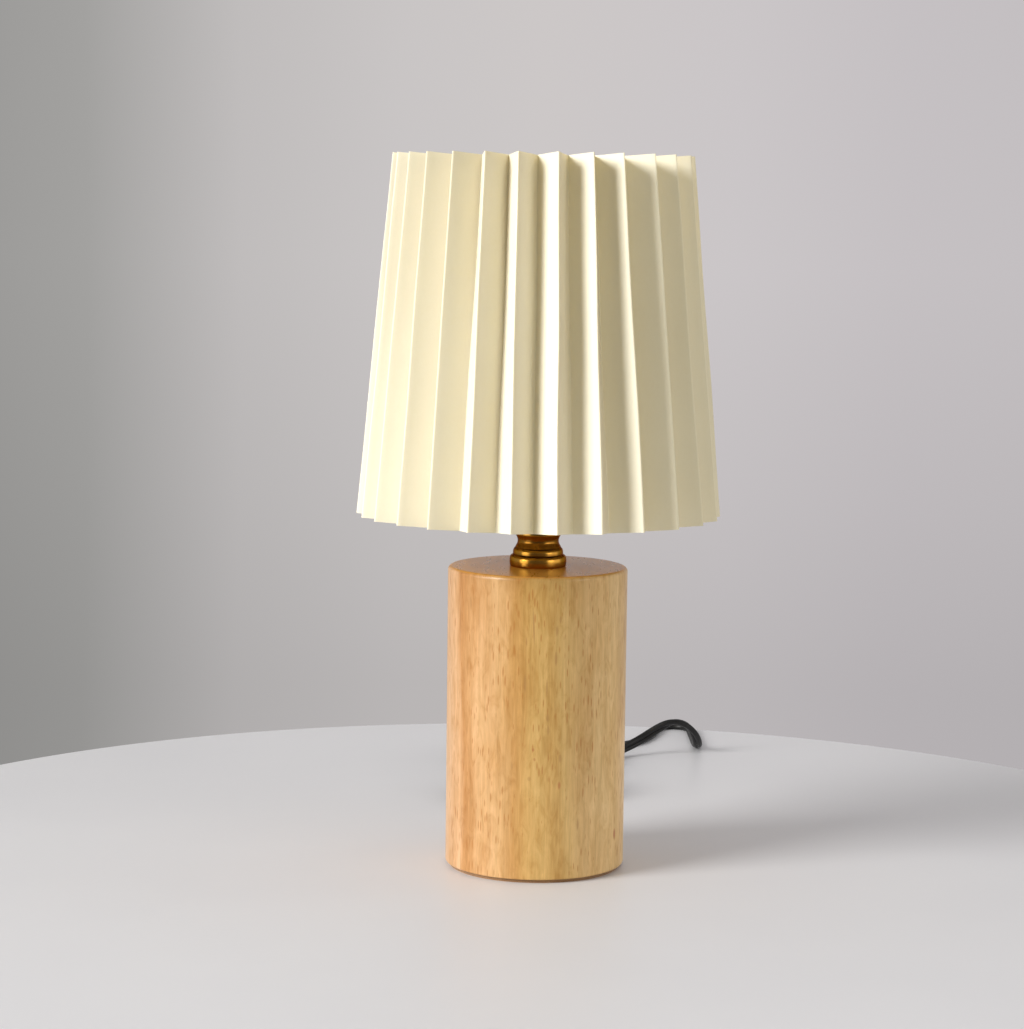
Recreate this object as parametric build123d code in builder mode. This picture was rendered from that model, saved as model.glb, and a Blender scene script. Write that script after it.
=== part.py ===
"""Pleated paper table lamp: wooden cylinder base, brass neck, pleated paper shade.

Millimetres, +Z up, origin at the centre of the underside, -Y is the front,
the mains cord leaves at the back (+Y).
"""
import math
import os

from build123d import *

os.makedirs("parts", exist_ok=True)

# ---------------------------------------------------------------- dimensions
# base
BASE_R = 40.0            # wooden cylinder
WOOD_TOP = 135.0
TOP_ROUND = 1.8          # rounding of the wood's top edge
FOOT_ROUND = 0.8
PAD_R = 38.2
PAD_T = 1.5
RECESS_R = 22.0          # recess in the wood's underside
RECESS_TOP = 34.0
ROD_BORE_R = 5.3
CABLE_Z = 10.0           # height of the cable bore at the back
CABLE_BORE_R = 4.0

# hollow threaded tube M10x1 and its hardware
ROD_R = 5.0
ROD_HOLE_R = 3.6
ROD_Z0, ROD_Z1 = 25.5, 157.0

# brass neck
NECK_Z0, NECK_Z1 = WOOD_TOP, 151.0

# lampholder for a 26 mm screw cap
CAP_Z1 = 170.0
SHOULDER_Z = 180.5
HOLDER_TOP = 204.0
THREAD_R = 19.75
SHOULDER_R = 22.5
SLEEVE_R = 13.35         # inside of the screw sleeve

# pleated shade
PLEATS = 26
PLEAT_PHASE = 5.6        # degrees, an outer fold's place seen from the front
FOLD_SKEW = 0.45         # inner fold's place between two outer folds
SHADE_Z0, SHADE_Z1 = 157.1, 316.7
R_OUT_0, R_OUT_1 = 81.1, 66.8    # outer folds at the bottom and at the top
R_IN_0, R_IN_1 = 68.2, 52.8      # inner folds
PAPER_T = 0.6

# shade carrier
FITTER_R0, FITTER_R1, FITTER_T = 20.1, 29.0, 1.5
LOW_RING_Z, LOW_WIRE_R = 176.0, 1.25
TOP_RING_Z, TOP_WIRE_R = 306.0, 1.0
ARM_ANGLES = (90, 210, 330)

# bulb
BULB_CAP_R = 13.0
BULB_TIP_Z = 179.3
BULB_CAP_Z1 = 205.5
GLOBE_R, GLOBE_Z = 30.0, 254.0
RIM_Z = 240.0

# mains cord: a flat twin cord 5.3 x 3 mm, held here as a round one of its section
CORD_R = 2.1
FLOOR = CORD_R

# in-line switch
SW_X, SW_Y = -22.0, 225.0
SW_L, SW_W = 58.0, 20.0
SW_SPLIT, SW_TOP = 7.0, 14.5
SW_WALL = 1.6
PIV_Z = 11.6
ROCK_TILT = 9.0

# coil of the unused length
COIL_X, COIL_Y = -8.0, 140.0
COIL_R0, COIL_R1 = 24.0, 34.0
COIL_Z0, COIL_Z1 = 0.8, 11.8

# plug
PLUG_X, PLUG_Y0, PLUG_Y1 = 14.0, 191.0, 233.0
PLUG_Z = 6.5

done = []


def keep(builder, name):
    builder.part.label = name
    export_step(builder.part, "parts/" + name + ".step")
    done.append((name, builder.part.volume))


# ---------------------------------------------------------------- wooden base
with BuildPart() as wood_base:
    with BuildSketch(Plane.XY.offset(PAD_T)):
        Circle(BASE_R)
    extrude(amount=WOOD_TOP - PAD_T)
    fillet(wood_base.edges().filter_by(GeomType.CIRCLE).group_by(Axis.Z)[-1], TOP_ROUND)
    fillet(wood_base.edges().filter_by(GeomType.CIRCLE).group_by(Axis.Z)[0], FOOT_ROUND)
    with BuildSketch(Plane.XY.offset(PAD_T)):
        Circle(RECESS_R)
    extrude(amount=RECESS_TOP - PAD_T, mode=Mode.SUBTRACT)
    with BuildSketch(Plane.XY.offset(PAD_T)):
        Circle(ROD_BORE_R)
    extrude(amount=WOOD_TOP, mode=Mode.SUBTRACT)
    with BuildSketch(Plane(origin=(0, 14, CABLE_Z), x_dir=(1, 0, 0), z_dir=(0, 1, 0))):
        Circle(CABLE_BORE_R)
    extrude(amount=30, mode=Mode.SUBTRACT)
keep(wood_base, "wood_base")

with BuildPart() as base_pad:
    with BuildSketch():
        Circle(PAD_R)
    extrude(amount=PAD_T)
keep(base_pad, "base_pad")

# ---------------------------------------------------------------- clamping hardware
with BuildPart() as threaded_tube:
    with BuildSketch(Plane.XY.offset(ROD_Z0)):
        Circle(ROD_R)
        Circle(ROD_HOLE_R, mode=Mode.SUBTRACT)
    extrude(amount=ROD_Z1 - ROD_Z0)
    chamfer(threaded_tube.edges().filter_by(GeomType.CIRCLE).sort_by(SortBy.RADIUS)[-2:], 0.4)
keep(threaded_tube, "threaded_tube")

with BuildPart() as rod_washer:
    with BuildSketch(Plane.XY.offset(RECESS_TOP - 1.5)):
        Circle(15)
        Circle(ROD_R + 0.2, mode=Mode.SUBTRACT)
    extrude(amount=1.5)
keep(rod_washer, "rod_washer")

with BuildPart() as rod_lock_washer:
    with BuildSketch(Plane.XY.offset(RECESS_TOP - 2.8)):
        Circle(8.4)
        Circle(ROD_R + 0.15, mode=Mode.SUBTRACT)
        with Locations((7, 0)):
            Rectangle(6, 1.2, rotation=12, mode=Mode.SUBTRACT)
    extrude(amount=1.3)
keep(rod_lock_washer, "rod_lock_washer")

with BuildPart() as rod_nut:
    with BuildSketch(Plane.XY.offset(RECESS_TOP - 6.8)):
        RegularPolygon(8.0, 6, major_radius=False)
        Circle(ROD_R + 0.02, mode=Mode.SUBTRACT)
    extrude(amount=4.0)
    with BuildSketch(Plane.XY.offset(RECESS_TOP - 6.8)):
        Circle(8.9)
    extrude(amount=4.0, taper=0, mode=Mode.INTERSECT)
keep(rod_nut, "rod_nut")

# ---------------------------------------------------------------- brass neck
with BuildPart() as brass_neck:
    with BuildSketch(Plane.XZ):
        with BuildLine():
            Line((ROD_R + 0.1, NECK_Z0), (11.5, NECK_Z0))
            ThreePointArc((11.5, NECK_Z0), (12.55, 137.7), (11.4, 140.3))
            Line((11.4, 140.3), (10.5, 140.5))
            ThreePointArc((10.5, 140.5), (11.05, 141.8), (10.4, 143.1))
            Line((10.4, 143.1), (9.6, 143.3))
            ThreePointArc((9.6, 143.3), (8.65, 146.0), (9.7, 148.9))
            Line((9.7, 148.9), (10.2, 149.3))
            Line((10.2, 149.3), (10.2, NECK_Z1))
            Line((10.2, NECK_Z1), (ROD_R + 0.1, NECK_Z1))
            Line((ROD_R + 0.1, NECK_Z1), (ROD_R + 0.1, NECK_Z0))
        make_face()
    revolve(axis=Axis.Z)
keep(brass_neck, "brass_neck")

# ---------------------------------------------------------------- lampholder
with BuildPart() as lampholder_cap:
    with BuildSketch(Plane.XZ):
        with BuildLine():
            Line((ROD_R + 0.02, NECK_Z1), (9.9, NECK_Z1))
            ThreePointArc((9.9, NECK_Z1), (16.8, 156.2), (19.2, 164.5))
            Line((19.2, 164.5), (19.2, CAP_Z1))
            Line((19.2, CAP_Z1), (17.4, CAP_Z1))
            Line((17.4, CAP_Z1), (17.4, 164.5))
            ThreePointArc((17.4, 164.5), (15.2, 157.6), (9.4, 153.4))
            Line((9.4, 153.4), (ROD_R + 0.02, 153.4))
            Line((ROD_R + 0.02, 153.4), (ROD_R + 0.02, NECK_Z1))
        make_face()
    revolve(axis=Axis.Z)
keep(lampholder_cap, "lampholder_cap")

with BuildPart() as cap_lock_nut:
    with BuildSketch(Plane.XY.offset(153.4)):
        RegularPolygon(7.0, 6, major_radius=False)
        Circle(ROD_R + 0.02, mode=Mode.SUBTRACT)
    extrude(amount=2.5)
keep(cap_lock_nut, "cap_lock_nut")

with BuildPart() as lampholder_body:
    with BuildSketch(Plane.XZ):
        with BuildLine():
            Polyline(
                (17.2, CAP_Z1), (19.2, CAP_Z1), (20.4, 172.5), (SHOULDER_R, 176.5),
                (SHOULDER_R, SHOULDER_Z), (THREAD_R, SHOULDER_Z), (THREAD_R, 182.6),
                (THREAD_R, HOLDER_TOP - 1.0), (THREAD_R - 1.0, HOLDER_TOP),
                (14.3, HOLDER_TOP), (14.3, 176.0), (17.2, 176.0), (17.2, CAP_Z1),
            )
        make_face()
    revolve(axis=Axis.Z)
keep(lampholder_body, "lampholder_body")

with BuildPart() as lampholder_core:
    with BuildSketch(Plane.XY.offset(165)):
        Circle(16.9)
        with Locations((0, 12.5), (0, -12.5)):
            Circle(1.6, mode=Mode.SUBTRACT)
        with Locations((9, 0), (-9, 0)):
            Circle(1.5, mode=Mode.SUBTRACT)
    extrude(amount=10)
keep(lampholder_core, "lampholder_core")

with BuildPart() as screw_shell:
    with BuildSketch(Plane.XZ):
        with BuildLine():
            Polyline(
                (9.6, 175.0), (14.0, 175.0), (14.0, 199.0), (SLEEVE_R, 199.0),
                (SLEEVE_R, 175.7), (9.6, 175.7), (9.6, 175.0),
            )
        make_face()
    revolve(axis=Axis.Z)
keep(screw_shell, "screw_shell")

with BuildPart() as centre_contact:
    with BuildSketch(Plane.XZ.offset(-2.5)):
        with BuildLine():
            Polyline(
                (8.6, 175.0), (8.6, 175.5), (3.6, 175.5), (-1.2, 178.7), (3.4, 178.7),
                (3.4, BULB_TIP_Z), (-3.0, BULB_TIP_Z), (-3.0, 178.9), (2.8, 175.0), (8.6, 175.0),
            )
        make_face()
    extrude(amount=5.0)
keep(centre_contact, "centre_contact")

with BuildPart() as terminal_screws:
    for x in (9, -9):
        with BuildSketch(Plane.XY.offset(162.6)):
            with Locations((x, 0)):
                Circle(3.0)
        extrude(amount=2.4)
        with BuildSketch(Plane.XY.offset(165.0)):
            with Locations((x, 0)):
                Circle(1.48)
        extrude(amount=8.0)
        with BuildSketch(Plane.XY.offset(162.6)):
            with Locations((x, 0)):
                Rectangle(0.9, 6.4)
        extrude(amount=0.9, mode=Mode.SUBTRACT)
keep(terminal_screws, "terminal_screws")

# ---------------------------------------------------------------- shade carrier
with BuildPart() as fitter_ring:
    with BuildSketch(Plane.XY.offset(SHOULDER_Z)):
        Circle(FITTER_R1)
        Circle(FITTER_R0, mode=Mode.SUBTRACT)
    extrude(amount=FITTER_T)
keep(fitter_ring, "fitter_ring")

NUT_Z0 = SHOULDER_Z + FITTER_T + 0.8
with BuildPart() as ring_nut_washer:
    with BuildSketch(Plane.XY.offset(SHOULDER_Z + FITTER_T)):
        Circle(25.0)
        Circle(FITTER_R0, mode=Mode.SUBTRACT)
    extrude(amount=0.8)
keep(ring_nut_washer, "ring_nut_washer")

with BuildPart() as shade_ring_nut:
    with BuildSketch(Plane.XY.offset(NUT_Z0)):
        Circle(25.5)
    extrude(amount=1.6)
    with BuildSketch(Plane.XY.offset(NUT_Z0 + 1.6)):
        Circle(23.6)
        with PolarLocations(23.6, 36):
            Circle(0.6)
    extrude(amount=6.4)
    with BuildSketch(Plane.XY.offset(NUT_Z0)):
        Circle(THREAD_R + 0.06)
    extrude(amount=8.0, mode=Mode.SUBTRACT)
keep(shade_ring_nut, "shade_ring_nut")


def fold_r(r_bottom, r_top, z):
    """Radius of a fold line at height z, run on past both edges."""
    t = (z - SHADE_Z0) / (SHADE_Z1 - SHADE_Z0)
    return r_bottom + (r_top - r_bottom) * t


def zigzag(z, inset):
    """Corner points of the pleats at height z, set in by the paper's thickness."""
    step = 360.0 / PLEATS
    pts = []
    for k in range(PLEATS):
        for r, a in ((fold_r(R_OUT_0, R_OUT_1, z), PLEAT_PHASE + k * step),
                     (fold_r(R_IN_0, R_IN_1, z), PLEAT_PHASE + (k + FOLD_SKEW) * step)):
            t = math.radians(a)
            pts.append((r * math.sin(t), -r * math.cos(t)))
    if inset == 0:
        return pts
    out = []
    n = len(pts)
    for i in range(n):
        (x0, y0), (x1, y1), (x2, y2) = pts[i - 1], pts[i], pts[(i + 1) % n]
        a = (x1 - x0, y1 - y0)
        b = (x2 - x1, y2 - y1)
        la, lb = math.hypot(*a), math.hypot(*b)
        # left-hand normals point towards the axis
        na = (-a[1] / la, a[0] / la)
        nb = (-b[1] / lb, b[0] / lb)
        cx, cy = na[0] + nb[0], na[1] + nb[1]
        k = inset / (1 + na[0] * nb[0] + na[1] * nb[1])
        out.append((x1 + cx * k, y1 + cy * k))
    return out


def inner_fold_inside(z):
    """Smallest radius of the paper's inner surface at height z."""
    return min(math.hypot(x, y) for x, y in zigzag(z, PAPER_T))


LOW_RING_R = inner_fold_inside(LOW_RING_Z) - LOW_WIRE_R + 0.12
TOP_RING_R = inner_fold_inside(TOP_RING_Z) - TOP_WIRE_R + 0.12

with BuildPart() as shade_spider_arms:
    for a in ARM_ANGLES:
        c, s = math.cos(math.radians(a)), math.sin(math.radians(a))
        start = Vector(24.0 * c, 24.0 * s, SHOULDER_Z - 1.1)
        end = Vector(LOW_RING_R * c, LOW_RING_R * s, LOW_RING_Z)
        with BuildSketch(Plane(origin=start, z_dir=end - start)):
            Circle(LOW_WIRE_R)
        extrude(amount=(end - start).length)
keep(shade_spider_arms, "shade_spider_arms")

with BuildPart() as shade_bottom_ring:
    with BuildSketch(Plane.XZ):
        with Locations((LOW_RING_R, LOW_RING_Z)):
            Circle(LOW_WIRE_R)
    revolve(axis=Axis.Z)
keep(shade_bottom_ring, "shade_bottom_ring")

with BuildPart() as shade_top_ring:
    with BuildSketch(Plane.XZ):
        with Locations((TOP_RING_R, TOP_RING_Z)):
            Circle(TOP_WIRE_R)
    revolve(axis=Axis.Z)
keep(shade_top_ring, "shade_top_ring")

# ---------------------------------------------------------------- pleated paper
with BuildPart() as shade_pleats:
    with BuildSketch(Plane.XY.offset(SHADE_Z0)):
        Polygon(*zigzag(SHADE_Z0, 0), align=None)
    with BuildSketch(Plane.XY.offset(SHADE_Z1)):
        Polygon(*zigzag(SHADE_Z1, 0), align=None)
    loft(ruled=True)
    with BuildSketch(Plane.XY.offset(SHADE_Z0 - 4)):
        Polygon(*zigzag(SHADE_Z0 - 4, PAPER_T), align=None)
    with BuildSketch(Plane.XY.offset(SHADE_Z1 + 4)):
        Polygon(*zigzag(SHADE_Z1 + 4, PAPER_T), align=None)
    loft(ruled=True, mode=Mode.SUBTRACT)
keep(shade_pleats, "shade_pleats")

# ---------------------------------------------------------------- bulb
with BuildPart() as bulb_tip_contact:
    with BuildSketch(Plane.XZ):
        with BuildLine():
            Line((0, BULB_TIP_Z), (3.2, BULB_TIP_Z))
            ThreePointArc((3.2, BULB_TIP_Z), (4.3, 179.8), (4.7, 181.0))
            Line((4.7, 181.0), (0, 181.0))
            Line((0, 181.0), (0, BULB_TIP_Z))
        make_face()
    revolve(axis=Axis.Z)
keep(bulb_tip_contact, "bulb_tip_contact")

with BuildPart() as bulb_insulator:
    with BuildSketch(Plane.XZ):
        with BuildLine():
            Polyline((0, 181.0), (5.4, 181.0), (9.6, 184.6), (9.6, 186.2), (0, 186.2), (0, 181.0))
        make_face()
    revolve(axis=Axis.Z)
keep(bulb_insulator, "bulb_insulator")

with BuildPart() as bulb_screw_cap:
    with BuildSketch(Plane.XZ):
        with BuildLine():
            Polyline(
                (9.6, 184.6), (11.6, 185.4), (BULB_CAP_R, 187.2), (BULB_CAP_R, BULB_CAP_Z1),
                (12.4, BULB_CAP_Z1), (12.4, 187.6), (11.2, 186.2), (9.6, 186.2), (9.6, 184.6),
            )
        make_face()
    revolve(axis=Axis.Z)
keep(bulb_screw_cap, "bulb_screw_cap")

RIM_R = math.sqrt(GLOBE_R**2 - (GLOBE_Z - RIM_Z) ** 2)
with BuildPart() as bulb_housing:
    with BuildSketch(Plane.XZ):
        with BuildLine():
            Line((11.0, 192.0), (12.4, 192.0))
            Line((12.4, 192.0), (12.4, BULB_CAP_Z1))
            Line((12.4, BULB_CAP_Z1), (13.4, BULB_CAP_Z1))
            ThreePointArc((13.4, BULB_CAP_Z1), (18.2, 224.0), (RIM_R, RIM_Z))
            Line((RIM_R, RIM_Z), (RIM_R - 1.5, RIM_Z))
            ThreePointArc((RIM_R - 1.5, RIM_Z), (16.6, 224.6), (11.0, BULB_CAP_Z1))
            Line((11.0, BULB_CAP_Z1), (11.0, 192.0))
        make_face()
    revolve(axis=Axis.Z)
keep(bulb_housing, "bulb_housing")

with BuildPart() as bulb_led_board:
    with BuildSketch(Plane.XY.offset(RIM_Z)):
        Circle(RIM_R - 1.4)
    extrude(amount=1.2)
    with BuildSketch(Plane.XY.offset(RIM_Z + 1.2)):
        with PolarLocations(16, 12):
            Rectangle(2.8, 3.5)
    extrude(amount=0.8)
keep(bulb_led_board, "bulb_led_board")

with BuildPart() as bulb_diffuser:
    with BuildSketch(Plane.XZ):
        with BuildLine():
            a0 = math.asin((RIM_Z - GLOBE_Z) / GLOBE_R)
            am = (a0 + math.pi / 2) / 2
            Ri = GLOBE_R - 1.2
            b0 = math.asin((RIM_Z - GLOBE_Z) / Ri)
            bm = (b0 + math.pi / 2) / 2
            ThreePointArc((RIM_R, RIM_Z), (GLOBE_R * math.cos(am), GLOBE_Z + GLOBE_R * math.sin(am)),
                          (0, GLOBE_Z + GLOBE_R))
            Line((0, GLOBE_Z + GLOBE_R), (0, GLOBE_Z + Ri))
            ThreePointArc((0, GLOBE_Z + Ri), (Ri * math.cos(bm), GLOBE_Z + Ri * math.sin(bm)),
                          (Ri * math.cos(b0), RIM_Z))
            Line((Ri * math.cos(b0), RIM_Z), (RIM_R, RIM_Z))
        make_face()
    revolve(axis=Axis.Z)
keep(bulb_diffuser, "bulb_diffuser")


# ---------------------------------------------------------------- cord
def tangent_radii(pts):
    """The largest arc that each corner's two runs allow."""
    radii = []
    for a, b, c in zip(pts, pts[1:], pts[2:]):
        u, v = Vector(*b) - Vector(*a), Vector(*c) - Vector(*b)
        turn = math.radians(u.get_angle(v))
        radii.append(0.45 * min(u.length, v.length) / math.tan(turn / 2))
    return radii


def report(name, pts, radii, length, volume, r):
    turns = [(Vector(*b) - Vector(*a)).get_angle(Vector(*c) - Vector(*b)) for a, b, c in zip(pts, pts[1:], pts[2:])]
    print(name, "length %.1f" % length, "radii", [round(x, 1) for x in radii],
          "turns", [round(x) for x in turns],
          "volume %.1f vs section x length %.1f" % (volume, math.pi * r * r * length))


# inside: through the base's cable bore, round the corner and up the tube
INNER = [(0, 64, CABLE_Z), (0, 0, CABLE_Z), (0, 0, 159)]
with BuildPart() as cord_inner:
    with BuildLine() as inner_path:
        FilletPolyline(*INNER, radius=14)
    with BuildSketch(Plane(origin=INNER[0], z_dir=(0, -1, 0))):
        Circle(CORD_R)
    sweep(path=inner_path.wires()[0])
keep(cord_inner, "cord_inner")

for sign, wire_name in ((1, "wire_live"), (-1, "wire_neutral")):
    with BuildPart() as core_wire:
        with BuildLine() as wire_path:
            FilletPolyline((1.05 * sign, 0, 159), (1.05 * sign, 0, 161.2), (9 * sign, 0, 159.9), (9 * sign, 0, 162.6),
                           radius=1.0)
        with BuildSketch(Plane(origin=(1.05 * sign, 0, 159), z_dir=(0, 0, 1))):
            Circle(0.8)
        sweep(path=wire_path.wires()[0])
    keep(core_wire, wire_name)

# tapered sleeve where the cord leaves the base
with BuildPart() as cord_strain_relief:
    with BuildSketch(Plane(origin=(0, 0, CABLE_Z), x_dir=(0, 1, 0), z_dir=(1, 0, 0))):
        with BuildLine():
            Polyline(
                (22.0, 2.15), (22.0, 3.9), (40.05, 3.9), (40.05, 6.0), (41.2, 6.0), (41.8, 5.2),
                (43.0, 4.6), (64.0, 3.1), (64.0, 2.15), (22.0, 2.15),
            )
        make_face()
    revolve(axis=Axis(origin=(0, 0, CABLE_Z), direction=(0, 1, 0)))
keep(cord_strain_relief, "cord_strain_relief")

# free cord from the sleeve to the switch: down to the surface, along behind the base,
# one low arch at the right, straight back on the surface, a hairpin behind the arch and back behind the base
LEAD = [
    (0, 64, 10), (0.5, 79, 8.2), (7, 95, 3.4), (20, 110, FLOOR), (31.5, 129, FLOOR), (37.5, 152, FLOOR),
    (37.5, 178, FLOOR), (35.5, 204, FLOOR), (36.5, 224, FLOOR), (42.5, 239.5, 2.5), (54.5, 248, 6.4),
    (66.6, 250.5, 14.8), (74.2, 251, 18.6), (81.2, 251.5, 17.0), (85.6, 253.5, 12.4), (87.8, 257.2, 7.4),
    (88.8, 263.4, 3.4), (89.4, 272.3, FLOOR), (91.2, 287.2, FLOOR), (91.8, 302.2, FLOOR), (91.1, 318.6, FLOOR),
    (85.9, 325.9, FLOOR), (77, 328.8, FLOOR), (68.1, 325.9, FLOOR), (62.8, 318.4, FLOOR), (62.4, 306, FLOOR),
    (60.8, 293, FLOOR), (57.2, 280.5, FLOOR), (50, 269.5, FLOOR), (40.5, 264.5, FLOOR), (29.5, 263.5, FLOOR),
    (18, 266, FLOOR), (8, 271.3, FLOOR), (-3, 275.8, 2.3), (-14.5, 273.7, 3.8),
    (SW_X, 264.8, 5.6), (SW_X, SW_Y + SW_L / 2, SW_SPLIT),
]
LEAD_RADII = tangent_radii(LEAD)
with BuildPart() as cord_lead:
    with BuildLine() as lead_path:
        FilletPolyline(*LEAD, radius=LEAD_RADII)
    with BuildSketch(Plane(origin=LEAD[0], z_dir=Vector(*LEAD[1]) - Vector(*LEAD[0]))):
        Circle(CORD_R)
    sweep(path=lead_path.wires()[0])
LEAD_LEN = lead_path.wires()[0].length
report("cord_lead", LEAD, LEAD_RADII, LEAD_LEN, cord_lead.part.volume, CORD_R)
keep(cord_lead, "cord_lead")

COIL_RM = (COIL_R0 + COIL_R1) / 2
TAIL = [
    (SW_X, SW_Y - SW_L / 2, SW_SPLIT), (-22.3, 184.5, 5.2), (-27.5, 171, 3.6), (-33.5, 160.5, 4.0), (-36.3, 152.5, 4.6),
]
TAIL_RADII = tangent_radii(TAIL)
with BuildPart() as cord_switch_tail:
    with BuildLine() as tail_path:
        FilletPolyline(*TAIL, radius=TAIL_RADII)
    with BuildSketch(Plane(origin=TAIL[0], z_dir=Vector(*TAIL[1]) - Vector(*TAIL[0]))):
        Circle(CORD_R)
    sweep(path=tail_path.wires()[0])
TAIL_LEN = tail_path.wires()[0].length
report("cord_switch_tail", TAIL, TAIL_RADII, TAIL_LEN, cord_switch_tail.part.volume, CORD_R)
keep(cord_switch_tail, "cord_switch_tail")

with BuildPart() as cord_coil:
    with BuildSketch(Plane.XY.offset(COIL_Z0)):
        with Locations((COIL_X, COIL_Y)):
            Circle(COIL_R1)
            Circle(COIL_R0, mode=Mode.SUBTRACT)
    extrude(amount=COIL_Z1 - COIL_Z0)
keep(cord_coil, "cord_coil")

PLUG_TAIL = [
    (20.9, 153.5, 7.6), (19.4, 161, 7.3), (16.2, 174, 6.8), (PLUG_X, PLUG_Y0, PLUG_Z),
]
PLUG_RADII = tangent_radii(PLUG_TAIL)
with BuildPart() as cord_plug_tail:
    with BuildLine() as plug_path:
        FilletPolyline(*PLUG_TAIL, radius=PLUG_RADII)
    with BuildSketch(Plane(origin=PLUG_TAIL[0], z_dir=Vector(*PLUG_TAIL[1]) - Vector(*PLUG_TAIL[0]))):
        Circle(CORD_R)
    sweep(path=plug_path.wires()[0])
PLUG_LEN = plug_path.wires()[0].length
report("cord_plug_tail", PLUG_TAIL, PLUG_RADII, PLUG_LEN, cord_plug_tail.part.volume, CORD_R)
keep(cord_plug_tail, "cord_plug_tail")

TURNS = 6.5
print("cord total about %.0f" % (LEAD_LEN + SW_L + TAIL_LEN + TURNS * 2 * math.pi * COIL_RM + PLUG_LEN))

# band round the coil, on its far side
with BuildPart() as coil_tie:
    with BuildSketch(Plane(origin=(COIL_X - 4.5, 0, 0), x_dir=(0, 1, 0), z_dir=(1, 0, 0))):
        with Locations((COIL_Y + COIL_RM - 0.15, 6.3)):
            RectangleRounded(12.6, 12.6, 1.2)
            Rectangle(10.9, 11.2, mode=Mode.SUBTRACT)
    extrude(amount=9)
keep(coil_tie, "coil_tie")

# ---------------------------------------------------------------- in-line switch
with BuildPart() as switch_lower_housing:
    with BuildSketch():
        with Locations((SW_X, SW_Y)):
            RectangleRounded(SW_W, SW_L, 6)
    extrude(amount=SW_SPLIT)
    fillet(switch_lower_housing.edges().group_by(Axis.Z)[0], 1.5)
    with BuildSketch(Plane.XY.offset(SW_WALL)):
        with Locations((SW_X, SW_Y)):
            RectangleRounded(SW_W - 2 * SW_WALL, SW_L - 2 * SW_WALL, 4.4)
    extrude(amount=SW_SPLIT, mode=Mode.SUBTRACT)
    with BuildSketch(Plane.XY.offset(SW_WALL)):
        with Locations((SW_X + 5.5, SW_Y - 21), (SW_X - 5.5, SW_Y + 21)):
            Circle(2.4)
    extrude(amount=SW_SPLIT - SW_WALL)
    with BuildSketch():
        with Locations((SW_X + 5.5, SW_Y - 21), (SW_X - 5.5, SW_Y + 21)):
            Circle(1.35)
    extrude(amount=SW_SPLIT, mode=Mode.SUBTRACT)
    with BuildSketch():
        with Locations((SW_X + 5.5, SW_Y - 21), (SW_X - 5.5, SW_Y + 21)):
            Circle(2.3)
    extrude(amount=1.5, mode=Mode.SUBTRACT)
    with BuildSketch(Plane(origin=(SW_X, SW_Y - SW_L / 2 - 1, SW_SPLIT), x_dir=(1, 0, 0), z_dir=(0, 1, 0))):
        Circle(CORD_R + 0.05)
    extrude(amount=SW_L + 2, mode=Mode.SUBTRACT)
keep(switch_lower_housing, "switch_lower_housing")

with BuildPart() as switch_upper_housing:
    with BuildSketch(Plane.XY.offset(SW_SPLIT)):
        with Locations((SW_X, SW_Y)):
            RectangleRounded(SW_W, SW_L, 6)
    extrude(amount=SW_TOP - SW_SPLIT)
    fillet(switch_upper_housing.edges().group_by(Axis.Z)[-1], 2.0)
    with BuildSketch(Plane.XY.offset(SW_SPLIT)):
        with Locations((SW_X, SW_Y)):
            RectangleRounded(SW_W - 2 * SW_WALL, SW_L - 2 * SW_WALL, 4.4)
    extrude(amount=SW_TOP - SW_SPLIT - SW_WALL, mode=Mode.SUBTRACT)
    with BuildSketch(Plane.XY.offset(SW_SPLIT)):
        with Locations((SW_X + 5.5, SW_Y - 21), (SW_X - 5.5, SW_Y + 21)):
            Circle(2.4)
    extrude(amount=SW_TOP - SW_SPLIT - SW_WALL)
    with BuildSketch(Plane.XY.offset(SW_SPLIT)):
        with Locations((SW_X + 5.5, SW_Y - 21), (SW_X - 5.5, SW_Y + 21)):
            Circle(1.2)
    extrude(amount=4.5, mode=Mode.SUBTRACT)
    # ears that hold the rocker's pin
    with BuildSketch(Plane.XY.offset(10.0)):
        with Locations((SW_X + 6.85, SW_Y), (SW_X - 6.85, SW_Y)):
            Rectangle(3.2, 4.4)
    extrude(amount=SW_TOP - SW_WALL - 10.0)
    # window for the rocker
    with BuildSketch(Plane.XY.offset(9.0)):
        with Locations((SW_X, SW_Y)):
            Rectangle(10.4, 18.0)
    extrude(amount=SW_TOP, mode=Mode.SUBTRACT)
    with BuildSketch(Plane(origin=(SW_X - 6.6, SW_Y, PIV_Z), x_dir=(0, 1, 0), z_dir=(1, 0, 0))):
        Circle(0.8)
    extrude(amount=13.2, mode=Mode.SUBTRACT)
    with BuildSketch(Plane(origin=(SW_X, SW_Y - SW_L / 2 - 1, SW_SPLIT), x_dir=(1, 0, 0), z_dir=(0, 1, 0))):
        Circle(CORD_R + 0.05)
    extrude(amount=SW_L + 2, mode=Mode.SUBTRACT)
keep(switch_upper_housing, "switch_upper_housing")

with BuildPart() as switch_rocker_pin:
    with BuildSketch(Plane(origin=(SW_X - 6.6, SW_Y, PIV_Z), x_dir=(0, 1, 0), z_dir=(1, 0, 0))):
        Circle(0.8)
    extrude(amount=13.2)
keep(switch_rocker_pin, "switch_rocker_pin")

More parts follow.
